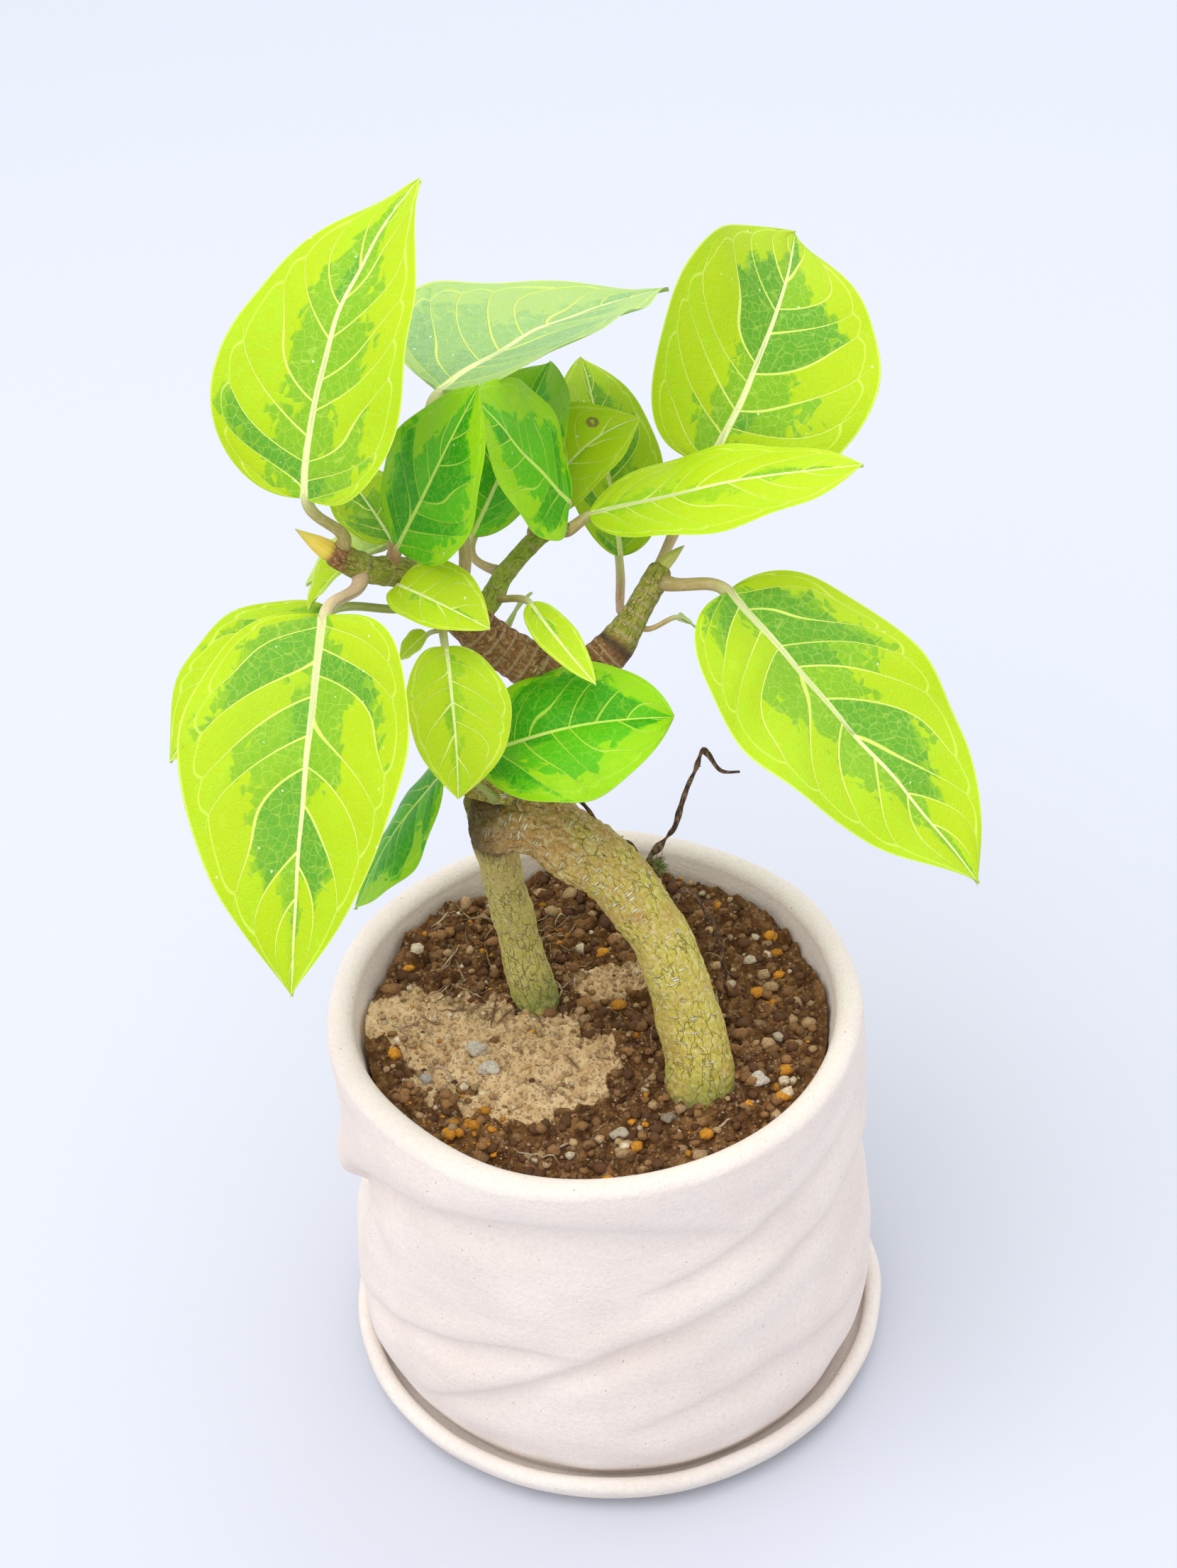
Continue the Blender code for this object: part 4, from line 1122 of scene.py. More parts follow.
@dataclass
class Ground:
    """The potting mix with its loose crumbs, fibres and pebbles."""

    level: float = 103.5
    bottom: float = 12.6
    clearance: float = 0.4
    lean: float = -2.4
    top_radius: float = 59.0
    crumbs: int = 5200
    fibres: int = 110
    mounds: tuple[tuple[float, float, float, float], ...] = (
        (23.0, -22.0, 1.4, 14.0),
        (-22.0, -14.0, 2.0, 22.0),
        (-17.0, 12.0, 1.0, 10.0),
        (0.0, 60.0, 7.5, 20.0),
        (-44.0, 42.0, 6.0, 18.0),
        (42.0, 42.0, 6.0, 18.0),
        (-62.0, 4.0, 5.0, 14.0),
        (60.0, 6.0, 4.0, 12.0),
    )
    pebbles: tuple[tuple[float, float, float, float], ...] = (
        (-33.0, -7.0, 2.6, 0.6),
        (-46.0, -16.0, 2.0, 0.7),
        (-30.0, -15.0, 2.4, 0.55),
        (37.0, -24.0, 2.4, 0.6),
        (14.0, -34.0, 1.8, 0.7),
        (2.0, -38.0, 2.2, 0.6),
    )

    CRUMB_TINTS = (
        (0.14, 0.058, 0.02), (0.33, 0.165, 0.058), (0.54, 0.35, 0.17), (0.78, 0.64, 0.44), (0.72, 0.3, 0.02)
    )
    CRUMB_DUST = (0.01, 0.0055, 0.0032)
    FIBRE_TINTS = ((0.45, 0.3, 0.17), (0.25, 0.15, 0.08), (0.6, 0.46, 0.3))
    PEBBLE_TINTS = (
        (0.66, 0.58, 0.46), (0.5, 0.45, 0.4), (0.7, 0.62, 0.5),
        (0.68, 0.6, 0.5), (0.36, 0.28, 0.2), (0.6, 0.5, 0.38),
    )

    def sandiness(self, x: np.ndarray, y: np.ndarray) -> np.ndarray:
        """1 on the two dry sandy islands, 0 in the dark mix: 1 - (dx/a)^2 - (dy/b)^2 and a wandering border.

        Args:
            x: places.
            y: places.

        Returns:
            The sandiness, 0 to 1.
        """
        place = np.stack([x, y, 0 * x], -1)
        border = Grain(31).at(place, 26.0) * 0.22 + Grain(32).at(place, 8.0) * 0.14
        front = 1.0 - ((x + 31.0) / 36.0) ** 2 - ((y + 8.0 + 0.25 * (x + 31.0)) / 24.0) ** 2
        back = 0.8 - ((x - 3.0) / 15.0) ** 2 - ((y - 19.0) / 9.0) ** 2
        return smoothstep(np.maximum(front, back) + border, -0.05, 0.4)

    def height(self, x: np.ndarray, y: np.ndarray) -> np.ndarray:
        """The surface: level + mounds + clods, where a clod is the size of a random field.

        Args:
            x: places.
            y: places.

        Returns:
            The height at each.
        """
        height = np.full_like(x, self.level)
        for middle_x, middle_y, rise, radius in self.mounds:
            height += rise * np.exp(-((x - middle_x) ** 2 + (y - middle_y) ** 2) / radius**2)
        place = np.stack([x, y, 0 * x], -1)
        clods = np.abs(Grain(33).at(place, 11.0)) * 1.3 + np.abs(Grain(34).at(place, 5.2)) * 1.1
        calm = 1.0 - 0.6 * self.sandiness(x, y)
        return height + (clods - 1.1) * calm + Grain(35).at(place, 2.4) * 0.32

    def soil(self) -> bpy.types.Object:
        """The body of mix: rings on the bottom, up the side, and inward over the crumbly top.

        Returns:
            The soil piece.
        """
        columns, top_rows = 330, 150
        round_turn = circle(evenly(columns))
        side_z = np.array([self.bottom, self.bottom, 40.0, 88.0, 98.0])
        side_r = np.array([30.0, 53.6, 57.1, 57.1, 57.9])
        side = round_turn[None] * side_r[:, None, None] + UP * side_z[:, None, None]
        side[..., 0] += (self.lean * (side_z - self.bottom) / (self.level - self.bottom))[:, None]
        reach = self.top_radius * np.linspace(1.0, 0.004, top_rows)
        top = round_turn[None] * reach[:, None, None]
        top[..., 0] += self.lean
        top[..., 2] = self.height(top[..., 0], top[..., 1])
        rings = np.concatenate([side, top])
        sand = self.sandiness(rings[..., 0], rings[..., 1])
        start = np.array([0.0, 0.0, self.bottom])
        end = np.array([self.lean, 0.0, top[-1, :, 2].mean()])
        mix = SoilFinish().material()
        body = shell(rings, start, end, sand=sand)
        return place_piece(body.mesh_object("potting_soil", mix), "soil", "soil")

    def scattered(self, rng: np.random.Generator, count: int, radius: float) -> np.ndarray:
        """Random places on the soil, even over its area: radius x sqrt(u) at a random angle.

        Args:
            rng: source of the draws.
            count: how many.
            radius: of the area.

        Returns:
            The places, (count, 2).
        """
        reach = radius * np.sqrt(rng.uniform(0, 1, count))
        angle = rng.uniform(0, 2 * math.pi, count)
        return np.stack([self.lean + reach * np.cos(angle), reach * np.sin(angle)], -1)

    def loose_crumbs(self) -> bpy.types.Object:
        """Crumbs and grains: twelve-cornered lumps with random corners, flattened and half sunk in the soil.

        Returns:
            The crumbs as one piece, each with its own stored tint.
        """
        rng = np.random.default_rng(41)
        golden = (1 + math.sqrt(5)) / 2
        corners = np.array([(0, s, t * golden) for s in (-1, 1) for t in (-1, 1)])
        corners = unit(np.vstack([corners, np.roll(corners, 1, axis=1), np.roll(corners, 2, axis=1)]))
        gaps = np.linalg.norm(corners[:, None] - corners[None], axis=-1)
        near = (gaps > 0.1) & (gaps < 1.2)
        triples = [(a, b, c) for a in range(12) for b in range(a) for c in range(b)]
        faces = np.array([(a, b, c) for a, b, c in triples if near[a, b] and near[b, c] and near[a, c]])
        middles = corners[faces].mean(axis=1)
        first, second, third = (corners[faces[:, k]] for k in range(3))
        crosses = np.cross(second - first, third - first)
        inward = np.einsum("ij,ij->i", middles, crosses) < 0
        faces[inward] = faces[inward][:, ::-1]
        place = self.scattered(rng, self.crumbs, self.top_radius - 2.5)
        size = 0.32 + 1.7 * rng.uniform(0, 1, self.crumbs) ** 4.5
        sand = self.sandiness(place[:, 0], place[:, 1])
        lumps = corners[None] * (1 + rng.uniform(-0.28, 0.28, (self.crumbs, 12, 1)))
        spin = rng.uniform(0, 2 * math.pi, self.crumbs)[:, None]
        x = lumps[..., 0] * np.cos(spin) - lumps[..., 1] * np.sin(spin)
        y = lumps[..., 0] * np.sin(spin) + lumps[..., 1] * np.cos(spin)
        lumps = np.stack([x * rng.uniform(0.8, 1.3, (self.crumbs, 1)), y, lumps[..., 2] * 0.72], -1)
        kinds = np.array(self.CRUMB_TINTS)
        earthy = rng.choice(5, self.crumbs, p=(0.42, 0.36, 0.13, 0.04, 0.05))
        sandy = rng.choice(5, self.crumbs, p=(0.02, 0.1, 0.66, 0.2, 0.02))
        chosen = np.where(rng.uniform(0, 1, self.crumbs) < sand, sandy, earthy)
        size = size * (1 - 0.45 * sand)
        rusty = np.hypot(place[:, 0] + 33.0, place[:, 1] + 36.0) < rng.normal(8.0, 3.0, self.crumbs)
        chosen = np.where(rusty, rng.choice((1, 4), self.crumbs, p=(0.35, 0.65)), chosen)
        tint = kinds[chosen] * rng.uniform(0.75, 1.2, (self.crumbs, 1)) + np.array(self.CRUMB_DUST)
        tint = np.column_stack([tint, np.ones(self.crumbs)])
        centre = np.column_stack([place, self.height(place[:, 0], place[:, 1]) + size * 0.3])
        points = centre[:, None] + lumps * size[:, None, None]
        every = (faces[None] + 12 * np.arange(self.crumbs)[:, None, None]).reshape(-1, 3)
        surface = Surface(points.reshape(-1, 3), [every], {"tint": np.repeat(tint, 12, axis=0)})
        return place_piece(surface.mesh_object("soil_crumbs", CrumbFinish().material()), "soil")

    def woody_fibres(self) -> bpy.types.Object:
        """Fibres: thin six-sided tubes on arcs that lie on the soil, most of them at the back left.

        Returns:
            The fibres as one piece.
        """
        rng = np.random.default_rng(42)
        rows, sides = 9, 6
        place = self.scattered(rng, self.fibres, self.top_radius - 10.0)
        pulled = rng.uniform(0, 1, self.fibres) < 0.6
        place[pulled] = place[pulled] * 0.45 + np.array([-24.0, 26.0])
        heading = rng.uniform(0, 2 * math.pi, self.fibres)
        length = rng.uniform(4.0, 13.0, self.fibres)
        bend = rng.uniform(-1.2, 1.2, self.fibres)
        t = np.linspace(-0.5, 0.5, rows)
        angle = heading[:, None] + bend[:, None] * t
        x = place[:, :1] + length[:, None] * t * np.cos(angle)
        y = place[:, 1:] + length[:, None] * t * np.sin(angle)
        girth = rng.uniform(0.14, 0.4, self.fibres)[:, None] * (1 - 3.4 * t**2)
        z = self.height(x, y) + 0.35 + rng.uniform(0, 0.6, self.fibres)[:, None]
        turn = evenly(sides)
        across = np.stack([-np.sin(angle), np.cos(angle), 0 * angle], -1)
        line = np.stack([x, y, z], -1)
        out = np.cos(turn)[:, None] * across[:, :, None] + np.sin(turn)[:, None] * UP
        rings = line[:, :, None] + girth[:, :, None, None] * out
        tints = np.array(self.FIBRE_TINTS)[rng.choice(3, self.fibres)]
        shells = []
        for ring, middle, tint in zip(rings, line, tints):
            stored = np.broadcast_to(np.append(tint, 1.0), (rows, sides, 4))
            shells.append(shell(ring, middle[0], middle[-1], tint=stored))
        fibres = shells[0].joined(*shells[1:])
        return place_piece(fibres.mesh_object("woody_fibres", CrumbFinish("fibre").material()), "soil")

    def loose_pebbles(self) -> None:
        """Pebbles: flattened balls whose radius follows a slow random field."""
        rows, columns = 22, 32
        ball = ball_grid(rows, columns)
        stone = CrumbFinish("pebble_stone", 0.75).material()
        tinted = zip(self.pebbles, self.PEBBLE_TINTS)
        for number, ((x, y, radius, flatness), tint) in enumerate(tinted, start=1):
            lump = 1.0 + 0.16 * Grain(50 + number).at(ball, 1.7)
            squash = np.array([radius, radius * 0.82, radius * flatness])
            z = float(self.height(np.array([x]), np.array([y]))[0]) + radius * flatness * 0.55
            rings = ball * lump[..., None] * squash + np.array([x, y, z])
            poles = np.array([x, y, z]) + np.array([UP, -UP]) * squash[2]
            stored = np.broadcast_to((*tint, 1.0), (rows - 1, columns, 4))
            pebble = shell(rings, poles[0], poles[1], tint=stored)
            place_piece(pebble.mesh_object(f"round_pebble_{number}", stone), "pebble", f"pebble_{number}")

    def build(self) -> None:
        """Makes the soil and what lies on it."""
        self.soil()
        self.loose_crumbs()
        self.woody_fibres()
        self.loose_pebbles()


# ------------------------------------------------------------------------------------------- the wood


@dataclass
class Stem:
    """A woody stem carried along a route, with a flared foot, swollen nodes, ring scars and a domed end."""

    name: str
    node: str
    slot: str
    route: tuple[tuple[float, float, float, float], ...]
    finish: BarkFinish
    tones: tuple[tuple[float, float], ...]
    scars: tuple[float, ...] = ()
    stains: tuple[tuple[float, float], ...] = ()
    mossy: tuple[float, float] = (2.0, 3.0)
    gnarled: float = 0.0
    flare: float = 0.2
    flare_length: float = 6.0
    roughness: float = 0.03
    columns: int = 72
    seed: int = 1
    per_span: int = 40
    dome: float = 0.7

    SCAR_WIDTH = 0.32
    RIDGE_WIDTH = 0.9
    RIDGE_RISE = 0.045
    SLOW_WAVE = 15.0
    FINE_WAVE = 3.6

    def path(self) -> np.ndarray:
        """The route as a dense smooth curve of (x, y, z, radius)."""
        return smooth_route(np.array(self.route), self.per_span)

    def build(self) -> bpy.types.Object:
        """Makes the stem: point = line + radius x relief x (side cos a + over sin a).

        relief = 1 + flare at the foot + ridges at the scars + a random field, and the end is closed by rings
        of radius cos b, moved on by the dome's height x sin b.

        Returns:
            The stem piece.
        """
        path = self.path()
        line, radius = path[:, :3], path[:, 3]
        run = travelled(line)
        share = run / run[-1]
        scar = ridges(run, self.scars, self.SCAR_WIDTH)
        ridge = ridges(run, self.scars, self.RIDGE_WIDTH)
        # Near-black bands round the stem at the listed shares and widths of its length.
        stain = sum((np.exp(-(((share - s) / w) ** 2)) for s, w in self.stains), np.zeros_like(run))
        flared = radius * (1 + self.flare * np.exp(-run / self.flare_length))
        radius = flared + ridge * self.RIDGE_RISE * radius
        beyond = np.radians(np.linspace(8.0, 88.0, 11))
        onward = unit(line[-1] - line[-3])
        height = radius[-1] * self.dome
        line = np.vstack([line, line[-1] + onward * height * np.sin(beyond)[:, None]])
        radius = np.concatenate([radius, radius[-1] * np.cos(beyond)])
        run = np.concatenate([run, run[-1] + height * np.sin(beyond)])
        pad = (0, len(beyond))
        scar, stain, share = (np.pad(value, pad, mode="edge") for value in (scar, stain, share))
        _, side, over = ring_frames(line, np.array([0.05, 1.0, 0.0]))
        angle = evenly(self.columns)
        out = spokes(side, over, angle)
        smooth = line[:, None] + out * radius[:, None, None]
        field_slow = Grain(self.seed).at(smooth, self.SLOW_WAVE)
        field_fine = np.abs(Grain(self.seed + 1).at(smooth, self.FINE_WAVE)) - 0.6
        strength = self.roughness + self.gnarled * smoothstep(share, 0.72, 0.95)
        relief = 1 + strength[:, None] * (field_slow + 0.6 * field_fine)
        rings = line[:, None] + out * (radius[:, None] * relief)[..., None]
        tone = np.interp(share, [t[0] for t in self.tones], [t[1] for t in self.tones])
        girth = float(radius.max())
        skin = np.stack(np.broadcast_arrays(girth * np.cos(angle), girth * np.sin(angle), run[:, None]), -1)
        moss = smoothstep(share, *self.mossy)
        wide = np.ones(self.columns)
        surface = shell(
            rings,
            line[0],
            line[-1] + onward * 0.02,
            tone=tone[:, None] * wide,
            scar=np.clip(scar, 0, 1)[:, None] * wide,
            stain=np.clip(stain, 0, 1)[:, None] * wide,
            moss=moss[:, None] * wide,
            skin=skin,
        )
        return place_piece(surface.mesh_object(self.name, self.finish.material()), self.slot, self.node)


def carried_point(path: np.ndarray, near: Point, toward: np.ndarray) -> tuple[np.ndarray, np.ndarray, float]:
    """Where something springs from a stem.

    Args:
        path: the stem's path.
        near: a place near which to look for the stem's axis.
        toward: a place that the new piece heads for.

    Returns:
        The axis point, the direction across the axis towards the place, and the stem's radius there.
    """
    i = int(np.argmin(np.linalg.norm(path[:, :3] - near, axis=1)))
    axis = unit(np.gradient(path[:, :3], axis=0)[i])
    out = np.asarray(toward, float) - path[i, :3]
    out = unit(out - axis * out.dot(axis))
    return path[i, :3], out, float(path[i, 3])


@dataclass
class Wood:
    """The trunk and everything woody that grows from it."""

    paths: dict[str, np.ndarray] = field(default_factory=dict)

    TUFT_RADIUS = 1.7
    BUD_PROFILE = ((0, 0.08, 0.22, 0.5, 0.8, 1), (0.85, 0.98, 1.0, 0.76, 0.36, 0.03))

    def stems(self) -> list[Stem]:
        """The six stems, each with its route as (x, y, z, radius).

        Returns:
            The stems, each before those that grow from it.
        """
        old = BarkFinish("trunk_bark")
        root = BarkFinish("prop_root_bark", (0.62, 0.53, 0.13), (0.55, 0.38, 0.14), (0.85, 0.76, 0.45))
        brown = BarkFinish("branch_bark", (0.26, 0.29, 0.03), (0.23, 0.095, 0.03), (0.72, 0.48, 0.2))
        fresh = BarkFinish("twig_bark", (0.29, 0.37, 0.03), (0.26, 0.12, 0.035), (0.55, 0.52, 0.15))
        trunk = (
            (25.0, -27.0, 80.0, 5.9),
            (24.0, -25.0, 90.0, 7.7),
            (23.0, -22.5, 103.0, 8.5),
            (21.5, -17.0, 117.0, 7.9),
            (16.0, -9.0, 138.0, 7.7),
            (7.0, -3.0, 153.0, 8.0),
            (-3.0, 2.0, 162.0, 8.5),
            (-15.0, 7.0, 168.5, 8.9),
            (-23.5, 11.0, 171.0, 9.4),
        )
        prop = (
            (-24.0, 12.0, 170.0, 6.6),
            (-25.5, 14.0, 158.0, 5.6),
            (-24.0, 16.5, 143.0, 5.2),
            (-21.0, 16.0, 122.0, 5.4),
            (-17.5, 11.5, 104.0, 6.2),
            (-15.0, 9.0, 90.0, 5.0),
        )
        leader = (
            (-24.0, 12.0, 173.0, 8.2),
            (-22.0, 16.5, 181.5, 7.1),
            (-15.0, 20.5, 189.0, 6.7),
            (-6.0, 23.0, 195.0, 6.4),
        )
        left = (
            (-7.0, 23.0, 196.0, 5.4),
            (-13.0, 24.2, 202.0, 5.6),
            (-21.0, 26.0, 208.0, 5.3),
            (-28.0, 27.0, 215.0, 5.0),
            (-35.0, 27.0, 223.0, 4.2),
            (-43.0, 26.0, 231.0, 3.8),
            (-50.0, 19.5, 237.0, 3.3),
            (-57.0, 16.0, 244.0, 2.9),
        )
        right = (
            (-5.0, 23.5, 195.5, 5.4),
            (3.0, 28.0, 201.0, 4.6),
            (7.0, 30.0, 204.0, 4.5),
            (12.0, 35.0, 209.0, 3.5),
            (16.5, 40.5, 213.5, 3.1),
            (18.5, 43.0, 216.0, 2.9),
        )
        middle = (
            (-28.0, 27.5, 215.0, 3.0),
            (-22.5, 34.0, 217.0, 2.8),
            (-19.0, 39.5, 220.0, 2.5),
            (-11.0, 46.5, 225.0, 2.3),
            (-5.0, 49.5, 227.0, 2.0),
        )
        return [
            Stem("bent_trunk", "trunk", "bark", trunk, old,
                 ((0, 0.6), (0.3, 0.6), (0.5, 0.7), (0.75, 0.5), (1, 0.2)), stains=((1.02, 0.06),),
                 mossy=(0.3, 0.16), gnarled=0.06, flare=0.12, columns=120, seed=61, roughness=0.034,
                 per_span=36),
            Stem("standing_prop_root", "prop_root", "bark", prop, root,
                 ((0, 0.5), (0.3, 0.6), (0.6, 0.8), (1, 0.8)), stains=((0.13, 0.035),), mossy=(0.66, 0.84),
                 flare=0.22, flare_length=5.0, columns=84, seed=63, roughness=0.04),
            Stem("leading_shoot", "leader", "bark", leader, old, ((0, 0.5), (0.6, 0.3), (1, 0.1)),
                 scars=(0.55, 0.75), stains=((0.93, 0.05),), flare=0.15, columns=96, seed=65),
            Stem("left_arm", "left_branch", "brown_bark", left, brown,
                 ((0, 0.05), (0.45, 0.1), (0.55, 0.3), (0.7, 0.85), (0.92, 0.8), (1, 0.3)),
                 scars=(0.12, 0.16, 0.2, 0.25, 0.3, 0.36, 0.5, 0.61, 0.7, 0.79, 0.9),
                 stains=((0.52, 0.035), (0.62, 0.02)), flare=0.1, seed=67),
            Stem("right_arm", "right_branch", "brown_bark", right, brown,
                 ((0, 0.0), (0.35, 0.1), (0.5, 0.75), (1, 0.9)),
                 scars=(0.3, 0.36, 0.5, 0.58, 0.66, 0.74, 0.82, 0.9), stains=((0.42, 0.03),), flare=0.1,
                 seed=69),
            Stem("middle_shoot", "middle_twig", "green_bark", middle, fresh,
                 ((0, 0.3), (0.2, 0.9), (0.8, 0.8), (1, 0.1)), scars=(0.3, 0.5, 0.72, 0.86), flare=0.25,
                 flare_length=3.0, columns=56, seed=71),
        ]

    def buds(self) -> None:
        """The end buds: a profile of (share, girth) from the branch's end, bent to its own aim."""
        plans = (
            ("left_bud", "left_branch", 11.0, 2.3, (-0.78, 0.1, 0.62),
             BudFinish("yellow_bud", (0.78, 0.55, 0.05), (0.6, 0.52, 0.05))),
            ("right_bud", "right_branch", 8.5, 1.8, (0.72, 0.15, 0.68),
             BudFinish("green_bud", (0.5, 0.52, 0.1), (0.42, 0.5, 0.08))),
        )
        for node, carrier, length, radius, aim, finish in plans:
            path = self.paths[carrier]
            onward = unit(path[-1, :3] - path[-4, :3])
            start = path[-1, :3] + onward * 0.6
            share = np.linspace(0.0, 0.985, 60)[:, None]
            bend = onward * (1 - share) * 0.3 + unit(np.array(aim)) * (0.7 + 0.3 * share)
            line = start + bend * length * share
            girth = radius * np.interp(share[:, 0], *self.BUD_PROFILE)
            _, side, over = ring_frames(line, np.array([0.1, 1.0, 0.0]))
            angle = evenly(40)
            seam = 1 + 0.07 * np.cos(2 * angle[None, :] + 5.0 * share) + 0.03 * np.cos(5 * angle[None, :])
            out = spokes(side, over, angle)
            rings = line[:, None] + out * (girth[:, None] * seam)[..., None]
            around = radius * np.cos(angle), radius * np.sin(angle)
            skin = np.stack(np.broadcast_arrays(*around, share * length), -1)
            sheath = shell(rings, line[0], line[-1] + bend[-1] * 0.15, share=share * np.ones(40), skin=skin)
            name = node.replace("bud", "pointed_bud")
            place_piece(sheath.mesh_object(name, finish.material()), "bud", node)

    def rootlets(self) -> None:
        """Dry rootlets: thin knotted tubes, each with a few side hairs."""
        high, low = (7.0, -3.0, 153.0), (12.0, -6.0, 145.5)
        plans = (
            ("rootlet_tall", high, (
                (14.7, 6.0, 158.0, 0.85), (19.5, 8.5, 164.5, 0.85), (22.5, 12.5, 171.0, 0.75),
                (27.0, 17.0, 179.0, 0.8), (28.6, 15.5, 179.6, 0.65), (31.0, 13.5, 177.0, 0.5),
                (35.0, 12.0, 177.0, 0.3),
            )),
            ("rootlet_back", high, (
                (9.0, 7.2, 158.0, 0.8), (4.5, 9.5, 160.0, 0.7), (-1.0, 13.0, 164.0, 0.7),
                (-5.0, 17.0, 169.0, 0.5),
            )),
            ("rootlet_red", low, (
                (20.5, 0.0, 149.5, 0.75), (24.0, 0.5, 146.5, 0.7), (27.5, 1.0, 139.0, 0.65),
                (30.0, 1.5, 124.0, 0.6), (31.5, 3.5, 111.5, 0.5),
            )),
        )
        bark = RootletFinish().material()
        trunk = self.paths["trunk"]
        for number, (node, knot, route) in enumerate(plans):
            axis, out, radius = carried_point(trunk, knot, np.array(route[0][:3]))
            start = axis + out * (radius - 0.8)
            path = smooth_route(np.vstack([[*start, route[0][3] * 1.4], route]), 14)
            waver = [Grain(80 + number + k).at(path[:, :3], 9.0) for k in range(3)]
            line = path[:, :3] + np.stack(waver, -1) * 0.3
            strands = [self.strand(line, path[:, 3] * 0.82, 81 + number, 14)]
            rng = np.random.default_rng(90 + number)
            for place in rng.integers(len(line) // 4, len(line) - 4, 4):
                away = unit(rng.normal(size=3))
                hair = line[place] + away * np.linspace(0, 1, 7)[:, None] * rng.uniform(1.5, 3.5)
                hair[:, 2] -= np.linspace(0, 1, 7) ** 2 * 0.8
                strands.append(self.strand(hair, np.linspace(0.28, 0.08, 7), 95 + number, 6))
            whole = strands[0].joined(*strands[1:])
            place_piece(whole.mesh_object(node.replace("rootlet", "dry_rootlet"), bark), "rootlet", node)

    def strand(self, line: np.ndarray, radius: np.ndarray, seed: int, columns: int) -> Surface:
        """A closed thin tube whose radius follows a random field.

        Args:
            line: its points.
            radius: its radius at each point.
            seed: seed of the field.
            columns: points in each ring.

        Returns:
            The tube.
        """
        _, side, over = ring_frames(line, np.array([0.1, 1.0, 0.05]))
        out = spokes(side, over, evenly(columns))
        knots = 1 + 0.22 * Grain(seed).at(line, 5.0)
        rings = line[:, None] + out * (radius * knots)[:, None, None]
        return shell(rings, line[0], line[-1])

    def moss(self) -> bpy.types.Object:
        """The moss tuft: a lumpy cushion with short curved fronds that stand out of it.

        Returns:
            The tuft.
        """
        trunk = self.paths["trunk"]
        axis, out, radius = carried_point(trunk, (7.0, -3.0, 153.0), np.array((12.0, 2.0, 159.0)))
        centre = axis + out * (radius + 1.0)
        ball = ball_grid(16, 24)
        swell = 1 + 0.2 * Grain(101).at(ball, 0.9)
        rings = centre + ball * self.TUFT_RADIUS * swell[..., None]
        cushion = shell(rings, centre + UP * self.TUFT_RADIUS, centre - UP * self.TUFT_RADIUS)
        rng = np.random.default_rng(102)
        fronds = []
        for away in unit(rng.normal(size=(90, 3)) + out * 0.8):
            line = centre + away * np.linspace(1.0, 1.0 + rng.uniform(1.2, 2.6), 5)[:, None]
            line = line + rng.normal(size=3) * np.linspace(0, 1, 5)[:, None] ** 2 * 0.5
            fronds.append(self.strand(line, np.linspace(0.22, 0.05, 5), 103, 5))
        tuft = cushion.joined(*fronds).mesh_object("moss_cushion", MossFinish().material())
        return place_piece(tuft, "moss", "moss_tuft")

    def build(self) -> dict[str, np.ndarray]:
        """Makes all the wood.

        Returns:
            The stems' paths by CAD node, for the leaves to grow from.
        """
        for stem in self.stems():
            stem.build()
            self.paths[stem.node] = stem.path()
        self.buds()
        self.rootlets()
        self.moss()
        return self.paths


# ----------------------------------------------------------------------------------------- the leaves


class LeafKind(Enum):
    """How a leaf is coloured."""

    LIME = "lime_leaf"
    DEEP = "green_leaf"
    YELLOW = "yellow_leaf"
    PALE = "pale_leaf"


class StalkTint(Enum):
    """Colour of a leaf stalk."""

    OLIVE = (0.42, 0.33, 0.1)
    PINK = (0.62, 0.42, 0.27)
    ROSE = (0.46, 0.24, 0.12)
    TAN = (0.5, 0.36, 0.14)
    GREEN = (0.38, 0.42, 0.1)


LEAF_FINISHES = {
    LeafKind.LIME: LeafFinish(
        "lime_leaf", (0.42, 0.6, 0.001), (0.2, 0.45, 0.012), (0.1, 0.34, 0.02), 0.46, 0.75, 0.4
    ),
    LeafKind.DEEP: LeafFinish(
        "green_leaf", (0.28, 0.6, 0.001), (0.085, 0.46, 0.001), (0.03, 0.33, 0.001), 0.76, 0.5, 0.55,
        vein=(0.42, 0.68, 0.06), rib=(0.62, 0.8, 0.14),
    ),
    LeafKind.YELLOW: LeafFinish(
        "yellow_leaf", (0.46, 0.64, 0.004), (0.31, 0.56, 0.004), (0.2, 0.46, 0.003), 0.1, 0.55, 0.2
    ),
    LeafKind.PALE: LeafFinish(
        "pale_leaf", (0.55, 0.7, 0.16), (0.48, 0.66, 0.2), (0.4, 0.58, 0.14), 0.3, 0.5, 0.2,
        wash=(0.6, 0.74, 0.3),
    ),
}


